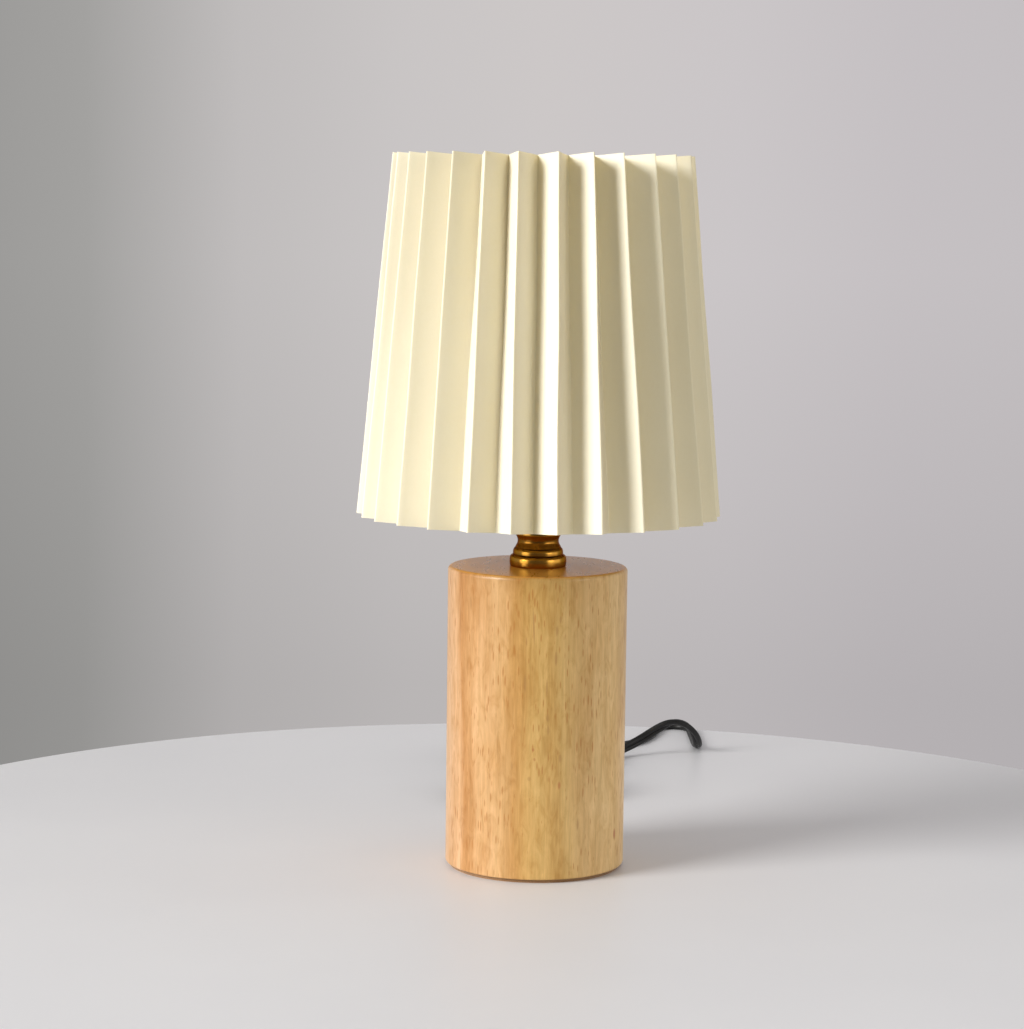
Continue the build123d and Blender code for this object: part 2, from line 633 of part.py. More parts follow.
# rocker, at rest pressed down at its far end (off)
ROCK = [(-3.0, -3.2), (3.0, -3.2), (8.1, -0.4), (8.1, 4.5), (4.2, 3.5), (0.0, 3.1), (-4.2, 3.5), (-8.1, 4.5), (-8.1, -0.4)]
tilt = math.radians(-ROCK_TILT)
ROCK_REST = [(y * math.cos(tilt) - z * math.sin(tilt), y * math.sin(tilt) + z * math.cos(tilt)) for y, z in ROCK]
with BuildPart() as switch_rocker:
    with BuildSketch(Plane(origin=(SW_X - 4.7, SW_Y, PIV_Z), x_dir=(0, 1, 0), z_dir=(1, 0, 0))):
        Polygon(*ROCK_REST, align=None)
        Circle(0.86, mode=Mode.SUBTRACT)
    extrude(amount=9.4)
keep(switch_rocker, "switch_rocker")

with BuildPart() as switch_contact_blade:
    with BuildSketch(Plane.XY.offset(6.4)):
        with Locations((SW_X, SW_Y)):
            Rectangle(4.6, 24)
    extrude(amount=0.4)
keep(switch_contact_blade, "switch_contact_blade")

with BuildPart() as switch_terminals:
    for dy in (-9.5, 9.5):
        with BuildSketch(Plane.XY.offset(SW_WALL)):
            with Locations((SW_X, SW_Y + dy)):
                Rectangle(7, 5)
        extrude(amount=6.4 - SW_WALL)
keep(switch_terminals, "switch_terminals")

with BuildPart() as switch_screws:
    for dx, dy in ((5.5, -21), (-5.5, 21)):
        with BuildSketch(Plane.XY.offset(0.3)):
            with Locations((SW_X + dx, SW_Y + dy)):
                Circle(2.2)
        extrude(amount=1.2)
        with BuildSketch(Plane.XY.offset(1.5)):
            with Locations((SW_X + dx, SW_Y + dy)):
                Circle(1.18)
        extrude(amount=8.0)
        with BuildSketch(Plane.XY.offset(0.3)):
            with Locations((SW_X + dx, SW_Y + dy)):
                Rectangle(0.7, 3.2)
                Rectangle(3.2, 0.7)
        extrude(amount=0.6, mode=Mode.SUBTRACT)
keep(switch_screws, "switch_screws")

# ---------------------------------------------------------------- plug
with BuildPart() as plug_body:
    # sleeve end, then the grip, then the flat face with the blades
    with BuildSketch(Plane(origin=(PLUG_X, PLUG_Y0, PLUG_Z), x_dir=(1, 0, 0), z_dir=(0, 1, 0))):
        Circle(3.4)
    with BuildSketch(Plane(origin=(PLUG_X, PLUG_Y0 + 18, PLUG_Z), x_dir=(1, 0, 0), z_dir=(0, 1, 0))):
        Circle(4.4)
    loft()
    with BuildSketch(Plane(origin=(PLUG_X, PLUG_Y0 + 18, PLUG_Z), x_dir=(1, 0, 0), z_dir=(0, 1, 0))):
        RectangleRounded(15, 10.5, 4)
    with BuildSketch(Plane(origin=(PLUG_X, PLUG_Y0 + 28, PLUG_Z), x_dir=(1, 0, 0), z_dir=(0, 1, 0))):
        RectangleRounded(21, 11.5, 4)
    with BuildSketch(Plane(origin=(PLUG_X, PLUG_Y1, PLUG_Z), x_dir=(1, 0, 0), z_dir=(0, 1, 0))):
        RectangleRounded(24, 13, 4)
    loft()
keep(plug_body, "plug_body")

with BuildPart() as plug_blades:
    for dx in (-6.35, 6.35):
        with BuildSketch(Plane(origin=(PLUG_X + dx, PLUG_Y1, PLUG_Z), x_dir=(1, 0, 0), z_dir=(0, 1, 0))):
            Rectangle(1.5, 6.3)
        extrude(amount=17)
    chamfer(plug_blades.edges().group_by(Axis.Y)[-1].filter_by(Axis.X), 0.6)
keep(plug_blades, "plug_blades")

for name, volume in done:
    print("%-24s %10.1f mm3" % (name, volume))
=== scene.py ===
"""Pleated paper table lamp: the visual model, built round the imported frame.

Metres, +Z up, the front is -Y, the mains cord leaves at the back.
"""
import math
import random

import bmesh
import bpy
from mathutils import Matrix, Vector


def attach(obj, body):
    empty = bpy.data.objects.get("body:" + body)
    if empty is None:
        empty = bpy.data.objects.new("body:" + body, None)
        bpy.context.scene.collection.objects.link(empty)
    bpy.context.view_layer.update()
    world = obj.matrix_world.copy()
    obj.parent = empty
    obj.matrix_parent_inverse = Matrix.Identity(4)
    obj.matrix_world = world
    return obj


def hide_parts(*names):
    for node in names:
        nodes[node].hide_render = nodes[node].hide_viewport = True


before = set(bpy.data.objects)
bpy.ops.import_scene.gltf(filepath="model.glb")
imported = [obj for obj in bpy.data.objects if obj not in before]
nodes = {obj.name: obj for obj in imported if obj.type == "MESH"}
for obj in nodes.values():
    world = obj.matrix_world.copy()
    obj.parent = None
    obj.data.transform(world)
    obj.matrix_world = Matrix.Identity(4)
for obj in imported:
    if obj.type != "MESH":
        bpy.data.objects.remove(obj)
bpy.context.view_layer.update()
MM = 0.001


# ------------------------------------------------------------------ camera
def make_camera():
    yaw, pitch, roll = 0.0098, 0.1104, 0.0120
    right0 = Vector((math.cos(yaw), math.sin(yaw), 0))
    level = Vector((-math.sin(yaw), math.cos(yaw), 0))
    ahead = level * math.cos(pitch) - Vector((0, 0, math.sin(pitch)))
    up0 = level * math.sin(pitch) + Vector((0, 0, math.cos(pitch)))
    right = right0 * math.cos(roll) + up0 * math.sin(roll)
    up = up0 * math.cos(roll) - right0 * math.sin(roll)
    data = bpy.data.cameras.new("camera")
    data.sensor_fit = "AUTO"
    data.sensor_width = 36.0
    data.lens = 2725.3 * 36.0 / 1029.0
    data.clip_start, data.clip_end = 0.02, 30.0
    cam = bpy.data.objects.new("camera", data)
    bpy.context.scene.collection.objects.link(cam)
    turn = Matrix((right, up, -ahead)).transposed()
    cam.matrix_world = Matrix.Translation((0, -1.20506, 0.29135)) @ turn.to_4x4()
    bpy.context.scene.camera = cam


make_camera()


# ------------------------------------------------------------------ mesh helpers
def add_object(name, data):
    ob = bpy.data.objects.new(name, data)
    bpy.context.scene.collection.objects.link(ob)
    return ob


def add_mesh(name, verts, faces, crease=None, recalc=True):
    """Mesh object, smooth shaded; crease is the angle in degrees above which an edge is sharp."""
    me = bpy.data.meshes.new(name)
    me.from_pydata([tuple(v) for v in verts], [], [tuple(f) for f in faces])
    if recalc:
        bm = bmesh.new()
        bm.from_mesh(me)
        bmesh.ops.recalc_face_normals(bm, faces=bm.faces)
        bm.to_mesh(me)
        bm.free()
    me.update()
    for p in me.polygons:
        p.use_smooth = True
    if crease is not None:
        me.set_sharp_from_angle(angle=math.radians(crease))
    return add_object(name, me)


def lathe(name, profile, steps=160, place=None, crease=35):
    """Closed (r, h) profile in mm turned about the axis of place (a Matrix; its Z is the axis)."""
    place = place or Matrix.Identity(4)
    verts, rings = [], []
    for r, h in profile:
        if r < 1e-6:
            rings.append([len(verts)] * steps)
            verts.append(place @ Vector((0, 0, h * MM)))
        else:
            rings.append(list(range(len(verts), len(verts) + steps)))
            for k in range(steps):
                a = 2 * math.pi * k / steps
                verts.append(place @ Vector((r * MM * math.cos(a), r * MM * math.sin(a), h * MM)))
    faces = []
    for i in range(len(rings)):
        a, b = rings[i], rings[(i + 1) % len(rings)]
        if a[0] == a[1] and b[0] == b[1]:
            continue
        for k in range(steps):
            n = (k + 1) % steps
            f = [a[k], a[n], b[n], b[k]]
            f = [v for j, v in enumerate(f) if v != f[j - 1]]
            if len(f) > 2:
                faces.append(f)
    return add_mesh(name, verts, faces, crease)


def arc(cx, cy, r, a0, a1, n):
    """Points of a circular arc, angles in degrees."""
    return [(cx + r * math.cos(math.radians(a0 + (a1 - a0) * i / n)),
             cy + r * math.sin(math.radians(a0 + (a1 - a0) * i / n))) for i in range(n + 1)]


def smooth(t):
    t = min(1.0, max(0.0, t))
    return t * t * (3 - 2 * t)


def sweep(name, path, section, close_ends=True, crease=40):
    """Section(s) swept along path. section(i) gives the cross-section's 3-D points round path[i]."""
    verts, rings = [], []
    for i in range(len(path)):
        pts = section(i)
        rings.append(list(range(len(verts), len(verts) + len(pts))))
        verts += pts
    faces = []
    for a, b in zip(rings, rings[1:]):
        n = len(a)
        for k in range(n):
            faces.append((a[k], a[(k + 1) % n], b[(k + 1) % n], b[k]))
    if close_ends:
        faces.append(tuple(rings[0]))
        faces.append(tuple(reversed(rings[-1])))
    return add_mesh(name, verts, faces, crease)


# ------------------------------------------------------------------ material helpers
class Look:
    """A material with a Principled shader and object coordinates."""

    def __init__(self, name, **sockets):
        self.mat = bpy.data.materials.new(name)
        self.mat.use_nodes = True
        self.tree = self.mat.node_tree
        self.tree.nodes.clear()
        self.out = self.add("ShaderNodeOutputMaterial")
        self.b = self.add("ShaderNodeBsdfPrincipled")
        self.tree.links.new(self.b.outputs[0], self.out.inputs["Surface"])
        self.coord = self.add("ShaderNodeTexCoord").outputs["Object"]
        for k, v in sockets.items():
            self.set(k, v)

    def set(self, key, value):
        names = {"color": "Base Color", "rough": "Roughness", "metal": "Metallic", "spec": "Specular IOR Level",
                 "coat": "Coat Weight", "coat_rough": "Coat Roughness", "ior": "IOR",
                 "transmission": "Transmission Weight", "sheen": "Sheen Weight",
                 "sss": "Subsurface Weight", "sss_scale": "Subsurface Scale", "sss_radius": "Subsurface Radius"}
        if isinstance(value, tuple) and len(value) == 3 and key == "color":
            value = (*value, 1.0)
        self.b.inputs[names.get(key, key)].default_value = value

    def add(self, kind, values=None, **props):
        n = self.tree.nodes.new(kind)
        for k, v in props.items():
            setattr(n, k, v)
        for k, v in (values or {}).items():
            n.inputs[k].default_value = v
        return n

    def mapped(self, scale=(1, 1, 1), shift=(0, 0, 0), turn=(0, 0, 0), source=None):
        """Object coordinates, shifted in metres, then turned and scaled."""
        v = source or self.coord
        m0 = self.add("ShaderNodeMapping", {"Location": tuple(-s for s in shift)})
        self.tree.links.new(v, m0.inputs["Vector"])
        m = self.add("ShaderNodeMapping", {"Rotation": turn})
        self.tree.links.new(m0.outputs[0], m.inputs["Vector"])
        m2 = self.add("ShaderNodeVectorMath", operation="MULTIPLY")
        self.tree.links.new(m.outputs[0], m2.inputs[0])
        m2.inputs[1].default_value = scale
        return m2.outputs[0]

    def noise(self, vector, scale=1.0, detail=2.0, rough=0.5, distortion=0.0):
        n = self.add("ShaderNodeTexNoise",
                     {"Scale": scale, "Detail": detail, "Roughness": rough, "Distortion": distortion})
        self.tree.links.new(vector, n.inputs["Vector"])
        return n.outputs["Fac"]

    def cells(self, vector, scale=1.0, feature="F1", output="Distance", randomness=1.0):
        n = self.add("ShaderNodeTexVoronoi", {"Scale": scale, "Randomness": randomness}, feature=feature)
        self.tree.links.new(vector, n.inputs["Vector"])
        return n.outputs[output]

    def ramp(self, value, *stops, mode="LINEAR"):
        n = self.add("ShaderNodeValToRGB")
        n.color_ramp.interpolation = mode
        e = n.color_ramp.elements
        while len(e) < len(stops):
            e.new(0.5)
        for el, (p, c) in zip(e, stops):
            el.position = p
            el.color = (*c, 1.0) if isinstance(c, tuple) else (c, c, c, 1.0)
        self.tree.links.new(value, n.inputs["Fac"])
        return n.outputs["Color"]

    def mix(self, fac, a, b, blend="MIX"):
        n = self.add("ShaderNodeMix", data_type="RGBA", blend_type=blend)
        n.clamp_factor = True
        for key, value in ((0, fac), (6, a), (7, b)):
            if hasattr(value, "is_linked"):
                self.tree.links.new(value, n.inputs[key])
            elif key == 0:
                n.inputs[0].default_value = value
            else:
                n.inputs[key].default_value = (*value, 1.0) if isinstance(value, tuple) else (value, value, value, 1.0)
        return n.outputs[2]

    def math(self, op, a, b=None, c=None):
        n = self.add("ShaderNodeMath", operation=op)
        for k, value in enumerate((a, b, c)):
            if value is None:
                continue
            if hasattr(value, "is_linked"):
                self.tree.links.new(value, n.inputs[k])
            else:
                n.inputs[k].default_value = value
        return n.outputs[0]

    def span(self, value, lo, hi, to_lo=0.0, to_hi=1.0, soft=True):
        n = self.add("ShaderNodeMapRange", {"From Min": lo, "From Max": hi, "To Min": to_lo, "To Max": to_hi})
        n.interpolation_type = "SMOOTHSTEP" if soft else "LINEAR"
        self.tree.links.new(value, n.inputs["Value"])
        return n.outputs[0]

    def length(self, vector):
        n = self.add("ShaderNodeVectorMath", operation="LENGTH")
        self.tree.links.new(vector, n.inputs[0])
        return n.outputs["Value"]

    def bump(self, height, strength=0.3, distance=0.0003, after=None):
        n = self.add("ShaderNodeBump", {"Strength": strength, "Distance": distance})
        self.tree.links.new(height, n.inputs["Height"])
        if after is not None:
            self.tree.links.new(after, n.inputs["Normal"])
        return n.outputs["Normal"]

    def drive(self, key, output):
        names = {"color": "Base Color", "rough": "Roughness", "normal": "Normal", "metal": "Metallic"}
        self.tree.links.new(output, self.b.inputs[names.get(key, key)])


def dress(ob, look):
    """ob's material slots all get this material."""
    mat = look.mat if isinstance(look, Look) else look
    if ob.material_slots:
        for s in ob.material_slots:
            s.material = mat
    else:
        ob.data.materials.append(mat)
    return ob


# ------------------------------------------------------------------ materials
def plastic(name, color, rough, grain=0.05, size=1400, spec=0.5, spread=0.06):
    """Moulded plastic: a fine spark-eroded grain, and a colour that is not quite even."""
    k = Look(name, color=color, rough=rough, spec=spec)
    fine = k.noise(k.mapped((size,) * 3), 1.0, 3.0, 0.6)
    broad = k.noise(k.mapped((60, 60, 60)), 1.0, 2.0, 0.5)
    lo = tuple(c * (1 - spread) for c in color)
    hi = tuple(min(1.0, c * (1 + spread)) for c in color)
    k.drive("color", k.ramp(broad, (0.3, lo), (0.7, hi)))
    k.drive("rough", k.span(fine, 0.2, 0.8, rough - 0.06, rough + 0.08))
    k.drive("normal", k.bump(fine, grain, 0.0002))
    return k


def metal(name, color, rough, tint=None, size=700, coat=0.0):
    """Plated or drawn metal with faint handling marks."""
    k = Look(name, color=color, rough=rough, metal=1.0, coat=coat)
    cloud = k.noise(k.mapped((90, 90, 90)), 1.0, 4.0, 0.6)
    fine = k.noise(k.mapped((size, size, size * 0.25)), 1.0, 3.0, 0.6)
    tint = tint or tuple(c * 0.72 for c in color)
    k.drive("color", k.ramp(cloud, (0.32, tint), (0.66, color)))
    k.drive("rough", k.span(fine, 0.25, 0.75, rough - 0.07, rough + 0.1))
    k.drive("normal", k.bump(fine, 0.06, 0.0001))
    return k


def wood_look():
    k = Look("lacquered_wood", rough=0.34, spec=0.42, coat=0.12, coat_rough=0.17)
    sep = k.add("ShaderNodeSeparateXYZ")
    k.tree.links.new(k.coord, sep.inputs[0])
    x = sep.outputs[0]
    # growth layers stand upright, nearly square to X, and wander a little
    wander = k.noise(k.mapped((34, 34, 9)), 1.0, 3.0, 0.5, 0.5)
    ripple = k.noise(k.mapped((170, 170, 22), turn=(0, 0, 0.35)), 1.0, 3.0, 0.55)
    shift = k.math("ADD", k.math("MULTIPLY", k.math("SUBTRACT", wander, 0.5), 0.022),
                   k.math("MULTIPLY", k.math("SUBTRACT", ripple, 0.5), 0.0060))
    across = k.span(k.math("ADD", x, shift), -0.042, 0.042, 0.0, 1.0, soft=False)
    layers = k.ramp(
        across,
        (0.00, (0.72, 0.44, 0.235)), (0.06, (0.75, 0.46, 0.25)), (0.10, (0.58, 0.295, 0.108)),
        (0.16, (0.62, 0.335, 0.135)), (0.21, (0.72, 0.43, 0.205)), (0.30, (0.70, 0.425, 0.190)),
        (0.37, (0.58, 0.320, 0.105)), (0.44, (0.62, 0.380, 0.130)), (0.53, (0.64, 0.410, 0.145)),
        (0.62, (0.580, 0.355, 0.115)), (0.67, (0.650, 0.430, 0.160)), (0.78, (0.68, 0.445, 0.190)),
        (0.86, (0.76, 0.530, 0.250)), (0.93, (0.70, 0.465, 0.195)), (1.00, (0.78, 0.525, 0.240)),
    )
    # broad soft clouds that stretch along the trunk, then mottling, finer bands and fibres
    cloud = k.noise(k.mapped((75, 75, 16)), 1.0, 3.0, 0.55, 0.4)
    color = k.mix(1.0, layers, k.ramp(cloud, (0.28, (0.91, 0.83, 0.68)), (0.50, (1.02, 1.01, 0.98)), (0.74, (1.12, 1.15, 1.20))), "MULTIPLY")
    mottle = k.noise(k.mapped((260, 260, 75)), 1.0, 4.0, 0.62, 1.0)
    color = k.mix(1.0, color, k.ramp(mottle, (0.30, (0.86, 0.79, 0.65)), (0.50, (1.0, 1.0, 0.98)), (0.72, (1.10, 1.12, 1.16))), "MULTIPLY")
    band = k.noise(k.mapped((520, 520, 14.0)), 1.0, 3.0, 0.6, 0.4)
    color = k.mix(1.0, color, k.ramp(band, (0.30, (0.90, 0.87, 0.81)), (0.70, (1.06, 1.06, 1.08))), "MULTIPLY")
    fibre = k.noise(k.mapped((1500, 1500, 90)), 1.0, 3.0, 0.65, 0.3)
    color = k.mix(1.0, color, k.ramp(fibre, (0.30, (0.91, 0.90, 0.86)), (0.70, (1.05, 1.05, 1.06))), "MULTIPLY")
    # pores: short dark dashes, more of them in some layers
    pore = k.cells(k.mapped((740, 740, 108)), 1.0)
    crowd = k.noise(k.mapped((60, 60, 20), shift=(0.3, 0.1, 0)), 1.0, 3.0, 0.6)
    size = k.span(crowd, 0.30, 0.66, 0.08, 0.37)
    dash = k.math("SUBTRACT", 1.0, k.span(k.math("DIVIDE", pore, size), 0.45, 1.0))
    color = k.mix(k.math("MULTIPLY", dash, 0.68), color, (0.46, 0.180, 0.036))
    # the sawn upper face: end grain, darker, with faint rings; its strong orange is a painted reflection of the brass
    # neck
    normal_z = k.add("ShaderNodeSeparateXYZ")
    k.tree.links.new(k.add("ShaderNodeNewGeometry").outputs["Normal"], normal_z.inputs[0])
    end = k.span(normal_z.outputs[2], 0.55, 0.98)
    rings = k.noise(k.mapped((330, 60, 60)), 1.0, 3.0, 0.6, 0.4)
    # end grain tone plus painted reflection: the saturated orange stands in for the brass neck mirrored in the
    # lacquered top
    end_grain_and_painted_reflection_tone = k.ramp(rings, (0.3, (0.67, 0.298, 0.048)), (0.7, (0.81, 0.395, 0.080)))
    color = k.mix(end, color, end_grain_and_painted_reflection_tone)
    # longer streaks and small knots, one by one: centre in mm, half width, half length, strength, colour
    brown, red = (0.42, 0.215, 0.070), (0.46, 0.155, 0.050)
    streaks = [
        (-1.4, -40, 113.5, 0.55, 10.0, 0.62, brown, 0.045), (-29.0, -27.5, 122.0, 0.8, 4.0, 0.45, brown, 0),
        (8.7, -39, 111.5, 0.8, 3.0, 0.5, brown, 0), (8.4, -39.1, 99.5, 0.9, 4.0, 0.55, brown, 0),
        (10.2, -38.7, 116.5, 0.7, 2.2, 0.55, brown, 0), (-4.9, -39.7, 88.5, 0.8, 5.2, 0.55, brown, 0),
        (4.6, -39.7, 86.5, 0.6, 5.0, 0.5, brown, 0), (-4.5, -39.7, 107.0, 0.5, 2.6, 0.45, brown, 0),
        (35.6, -18.0, 122.5, 0.6, 4.6, 0.5, brown, 0.12), (5.1, -39.7, 73.5, 0.7, 2.4, 0.6, brown, 0),
        (5.4, -39.6, 68.0, 0.6, 2.8, 0.5, brown, 0), (-1.0, -40, 59.5, 0.7, 1.0, 0.6, red, 0),
        (-0.4, -40, 55.2, 0.6, 1.0, 0.5, red, 0), (-2.6, -39.9, 46.6, 1.1, 1.3, 0.38, brown, 0),
        (10.5, -38.6, 43.6, 0.85, 2.2, 0.62, red, 0), (10.8, -38.5, 55.5, 0.8, 2.4, 0.5, brown, 0),
        (18.9, -35.3, 25.5, 0.7, 3.4, 0.55, brown, 0), (35.4, -18.6, 18.0, 1.25, 3.1, 0.85, red, 0),
        (-10.2, -38.7, 52.0, 0.7, 2.4, 0.42, brown, 0), (-28.0, -28.6, 33.0, 0.6, 4.6, 0.34, brown, 0),
        (18.5, 35.5, 60.0, 0.8, 6.0, 0.5, brown, 0), (-14.0, 37.5, 96.0, 0.8, 4.5, 0.5, brown, 0),
        (-39.0, 8.8, 70.0, 0.8, 5.0, 0.5, brown, 0), (38.5, 10.8, 88.0, 0.8, 5.5, 0.5, brown, 0),
        (6.0, 39.5, 30.0, 1.2, 2.6, 0.7, red, 0),
    ]
    for cx, cy, cz, half_w, half_l, strength, tone, lean in streaks:
        v = k.mapped((1000 / half_w, 1000 / half_w, 1000 / half_l), shift=(cx * MM, cy * MM, cz * MM), turn=(0, lean, 0))
        near = k.math("SUBTRACT", 1.0, k.span(k.length(v), 0.35, 1.05))
        color = k.mix(k.math("MULTIPLY", near, strength), color, tone)
    k.drive("color", color)
    k.drive("rough", k.mix(end, k.span(band, 0.2, 0.8, 0.31, 0.40), k.span(rings, 0.2, 0.8, 0.26, 0.32)))
    relief = k.math("ADD", k.math("MULTIPLY", dash, -0.5), k.math("MULTIPLY", fibre, 0.5))
    relief = k.math("MULTIPLY", relief, k.math("SUBTRACT", 1.0, end))
    k.drive("normal", k.bump(relief, 0.10, 0.00012))
    return k


def paper_look():
    """Ivory pleating paper: a little light comes through, the surface is softly fibrous."""
    k = Look("pleated_paper", rough=0.55, spec=0.30)
    cloud = k.noise(k.mapped((38, 38, 16)), 1.0, 2.0, 0.5)
    fibre = k.noise(k.mapped((900, 900, 500)), 1.0, 4.0, 0.7)
    color = k.ramp(cloud, (0.30, (0.876, 0.824, 0.685)), (0.70, (0.888, 0.840, 0.710)))
    color = k.mix(1.0, color, k.ramp(fibre, (0.3, (0.980, 0.975, 0.960)), (0.7, (1.0, 1.0, 1.0))), "MULTIPLY")
    k.drive("color", color)
    normal = k.bump(fibre, 0.08, 0.00015)
    k.drive("normal", normal)
    through = k.add("ShaderNodeBsdfTranslucent")
    k.tree.links.new(k.ramp(cloud, (0.3, (0.90, 0.75, 0.22)), (0.7, (0.92, 0.78, 0.26))), through.inputs["Color"])
    k.tree.links.new(normal, through.inputs["Normal"])
    both = k.add("ShaderNodeMixShader", {0: 0.26})
    k.tree.links.new(k.b.outputs[0], both.inputs[1])
    k.tree.links.new(through.outputs[0], both.inputs[2])
    k.tree.links.new(both.outputs[0], k.out.inputs["Surface"])
    return k


def brass_look():
    """Antique brass under lacquer: brown in the hollows, golden on the beads."""
    k = Look("antique_brass", rough=0.24, metal=1.0, coat=0.08, coat_rough=0.12)
    k.set("Specular Tint", (0.50, 0.30, 0.14, 1.0))
    sep = k.add("ShaderNodeSeparateXYZ")
    k.tree.links.new(k.coord, sep.inputs[0])
    x, y, z = sep.outputs[0], sep.outputs[1], sep.outputs[2]
    r = k.math("SQRT", k.math("ADD", k.math("MULTIPLY", x, x), k.math("MULTIPLY", y, y)))
    # hollows: how far the surface is inside the straight line over the beads
    line = k.span(z, 0.1377, 0.1510, 0.01255, 0.0104, soft=False)
    depth = k.math("SUBTRACT", line, r)
    hollow = k.span(depth, 0.0002, 0.0022)
    patch = k.noise(k.mapped((150, 150, 90)), 1.0, 3.0, 0.55, 0.2)
    gold = k.ramp(patch, (0.30, (0.40, 0.197, 0.026)), (0.70, (0.47, 0.243, 0.040)))
    brown = k.ramp(patch, (0.3, (0.22, 0.088, 0.010)), (0.7, (0.28, 0.120, 0.016)))
    # a dark line of lacquer and polish left in the grooves
    groove = k.math("MULTIPLY", k.math("SUBTRACT", 1.0, k.span(k.math("ABSOLUTE", k.math("SUBTRACT", z, 0.14045)), 0.0, 0.0006)), 0.8)
    groove2 = k.math("MULTIPLY", k.math("SUBTRACT", 1.0, k.span(k.math("ABSOLUTE", k.math("SUBTRACT", z, 0.14335)), 0.0, 0.0005)), 0.6)
    color = k.mix(k.math("MULTIPLY", hollow, 0.75), gold, brown)
    color = k.mix(k.math("MAXIMUM", groove, groove2), color, (0.13, 0.050, 0.008))
    k.drive("color", color)
    turned = k.noise(k.mapped((60, 60, 9000)), 1.0, 2.0, 0.5)
    k.drive("rough", k.span(patch, 0.25, 0.75, 0.20, 0.28))
    k.drive("normal", k.bump(turned, 0.03, 0.00004))
    return k


def cord_look():
    k = Look("black_cord", rough=0.40, spec=0.38)
    fine = k.noise(k.mapped((1200, 1200, 1200)), 1.0, 3.0, 0.6)
    dust = k.noise(k.mapped((150, 150, 150)), 1.0, 4.0, 0.6)
    k.drive("color", k.ramp(dust, (0.35, (0.006, 0.006, 0.0065)), (0.75, (0.012, 0.0115, 0.011))))
    k.drive("rough", k.span(dust, 0.25, 0.75, 0.34, 0.48))
    k.drive("normal", k.bump(fine, 0.05, 0.0001))
    return k


def foot_look():
    k = Look("felt_foot", rough=0.95, spec=0.15, sheen=0.4)
    hair = k.noise(k.mapped((2600, 2600, 2600)), 1.0, 5.0, 0.8)
    cloud = k.noise(k.mapped((120, 120, 120)), 1.0, 3.0, 0.6)
    color = k.ramp(cloud, (0.3, (0.36, 0.205, 0.100)), (0.7, (0.44, 0.26, 0.13)))
    k.drive("color", k.mix(1.0, color, k.ramp(hair, (0.25, 0.55), (0.75, 1.25)), "MULTIPLY"))
    k.drive("normal", k.bump(hair, 0.6, 0.0004))
    return k


def ceramic_look():
    k = Look("holder_ceramic", rough=0.32, spec=0.5, coat=0.3, coat_rough=0.12)
    speck = k.cells(k.mapped((900, 900, 900)), 1.0)
    cloud = k.noise(k.mapped((140, 140, 140)), 1.0, 3.0, 0.5)
    color = k.ramp(cloud, (0.3, (0.74, 0.72, 0.67)), (0.7, (0.82, 0.80, 0.76)))
    k.drive("color", k.mix(k.math("MULTIPLY", k.math("SUBTRACT", 1.0, k.span(speck, 0.04, 0.10)), 0.35),
                           color, (0.45, 0.40, 0.32)))
    k.drive("normal", k.bump(cloud, 0.08, 0.0003))
    return k


def globe_look():
    """Frosted diffuser: milky, with a soft bright rim."""
    k = Look("frosted_globe", rough=0.42, spec=0.5, sss=0.35, sss_scale=0.012, sss_radius=(1.0, 0.95, 0.85))
    cloud = k.noise(k.mapped((80, 80, 80)), 1.0, 3.0, 0.5)
    fine = k.noise(k.mapped((2200, 2200, 2200)), 1.0, 3.0, 0.6)
    k.drive("color", k.ramp(cloud, (0.3, (0.86, 0.86, 0.84)), (0.7, (0.92, 0.92, 0.90))))
    k.drive("rough", k.span(fine, 0.2, 0.8, 0.36, 0.50))
    k.drive("normal", k.bump(fine, 0.08, 0.0001))
    return k


def board_look():
    k = Look("led_board", rough=0.5, spec=0.4)
    sep = k.add("ShaderNodeSeparateXYZ")
    k.tree.links.new(k.coord, sep.inputs[0])
    chip = k.span(sep.outputs[2], 0.2413, 0.2415)
    fine = k.noise(k.mapped((800, 800, 800)), 1.0, 3.0, 0.6)
    board = k.ramp(fine, (0.3, (0.80, 0.80, 0.78)), (0.7, (0.88, 0.88, 0.86)))
    k.drive("color", k.mix(chip, board, (0.86, 0.62, 0.08)))
    k.drive("normal", k.bump(fine, 0.05, 0.0001))
    return k


def mark_look():
    k = Look("white_mark", rough=0.5)
    fine = k.noise(k.mapped((1500, 1500, 1500)), 1.0, 3.0, 0.6)
    k.drive("color", k.ramp(fine, (0.3, (0.62, 0.62, 0.61)), (0.7, (0.72, 0.72, 0.71))))
    return k


WOOD = wood_look()
PAPER = paper_look()
BRASS = brass_look()
CORD = cord_look()
FOOT = foot_look()
CERAMIC = ceramic_look()
GLOBE = globe_look()
BOARD = board_look()
MARK = mark_look()
ZINC = metal("zinc_steel", (0.62, 0.62, 0.60), 0.36)
ENAMEL = plastic("white_enamel_wire", (0.78, 0.77, 0.74), 0.34, grain=0.06, size=900)
CONTACT = metal("contact_brass", (0.80, 0.60, 0.26), 0.30)
HOLDER = plastic("holder_plastic", (0.020, 0.019, 0.018), 0.42, grain=0.10)
BULB_WHITE = plastic("bulb_white_plastic", (0.80, 0.80, 0.79), 0.38, grain=0.05)
BULB_METAL = metal("bulb_cap_metal", (0.70, 0.70, 0.69), 0.26)
BULB_BLACK = plastic("bulb_black_glass", (0.010, 0.010, 0.011), 0.12, grain=0.02, size=500)
WIRE_BROWN = plastic("wire_brown", (0.095, 0.040, 0.018), 0.42)
WIRE_BLUE = plastic("wire_blue", (0.030, 0.075, 0.28), 0.42)
SWITCH = plastic("switch_black", (0.014, 0.014, 0.015), 0.46, grain=0.16, size=1700)
ROCKER = plastic("rocker_black", (0.011, 0.011, 0.012), 0.30, grain=0.05)
PLUG = plastic("plug_black", (0.013, 0.013, 0.014), 0.50, grain=0.14, size=1500)
TIE = plastic("tie_black", (0.016, 0.016, 0.017), 0.52, grain=0.20, size=2200)
PINS = metal("plug_metal", (0.72, 0.70, 0.66), 0.24)

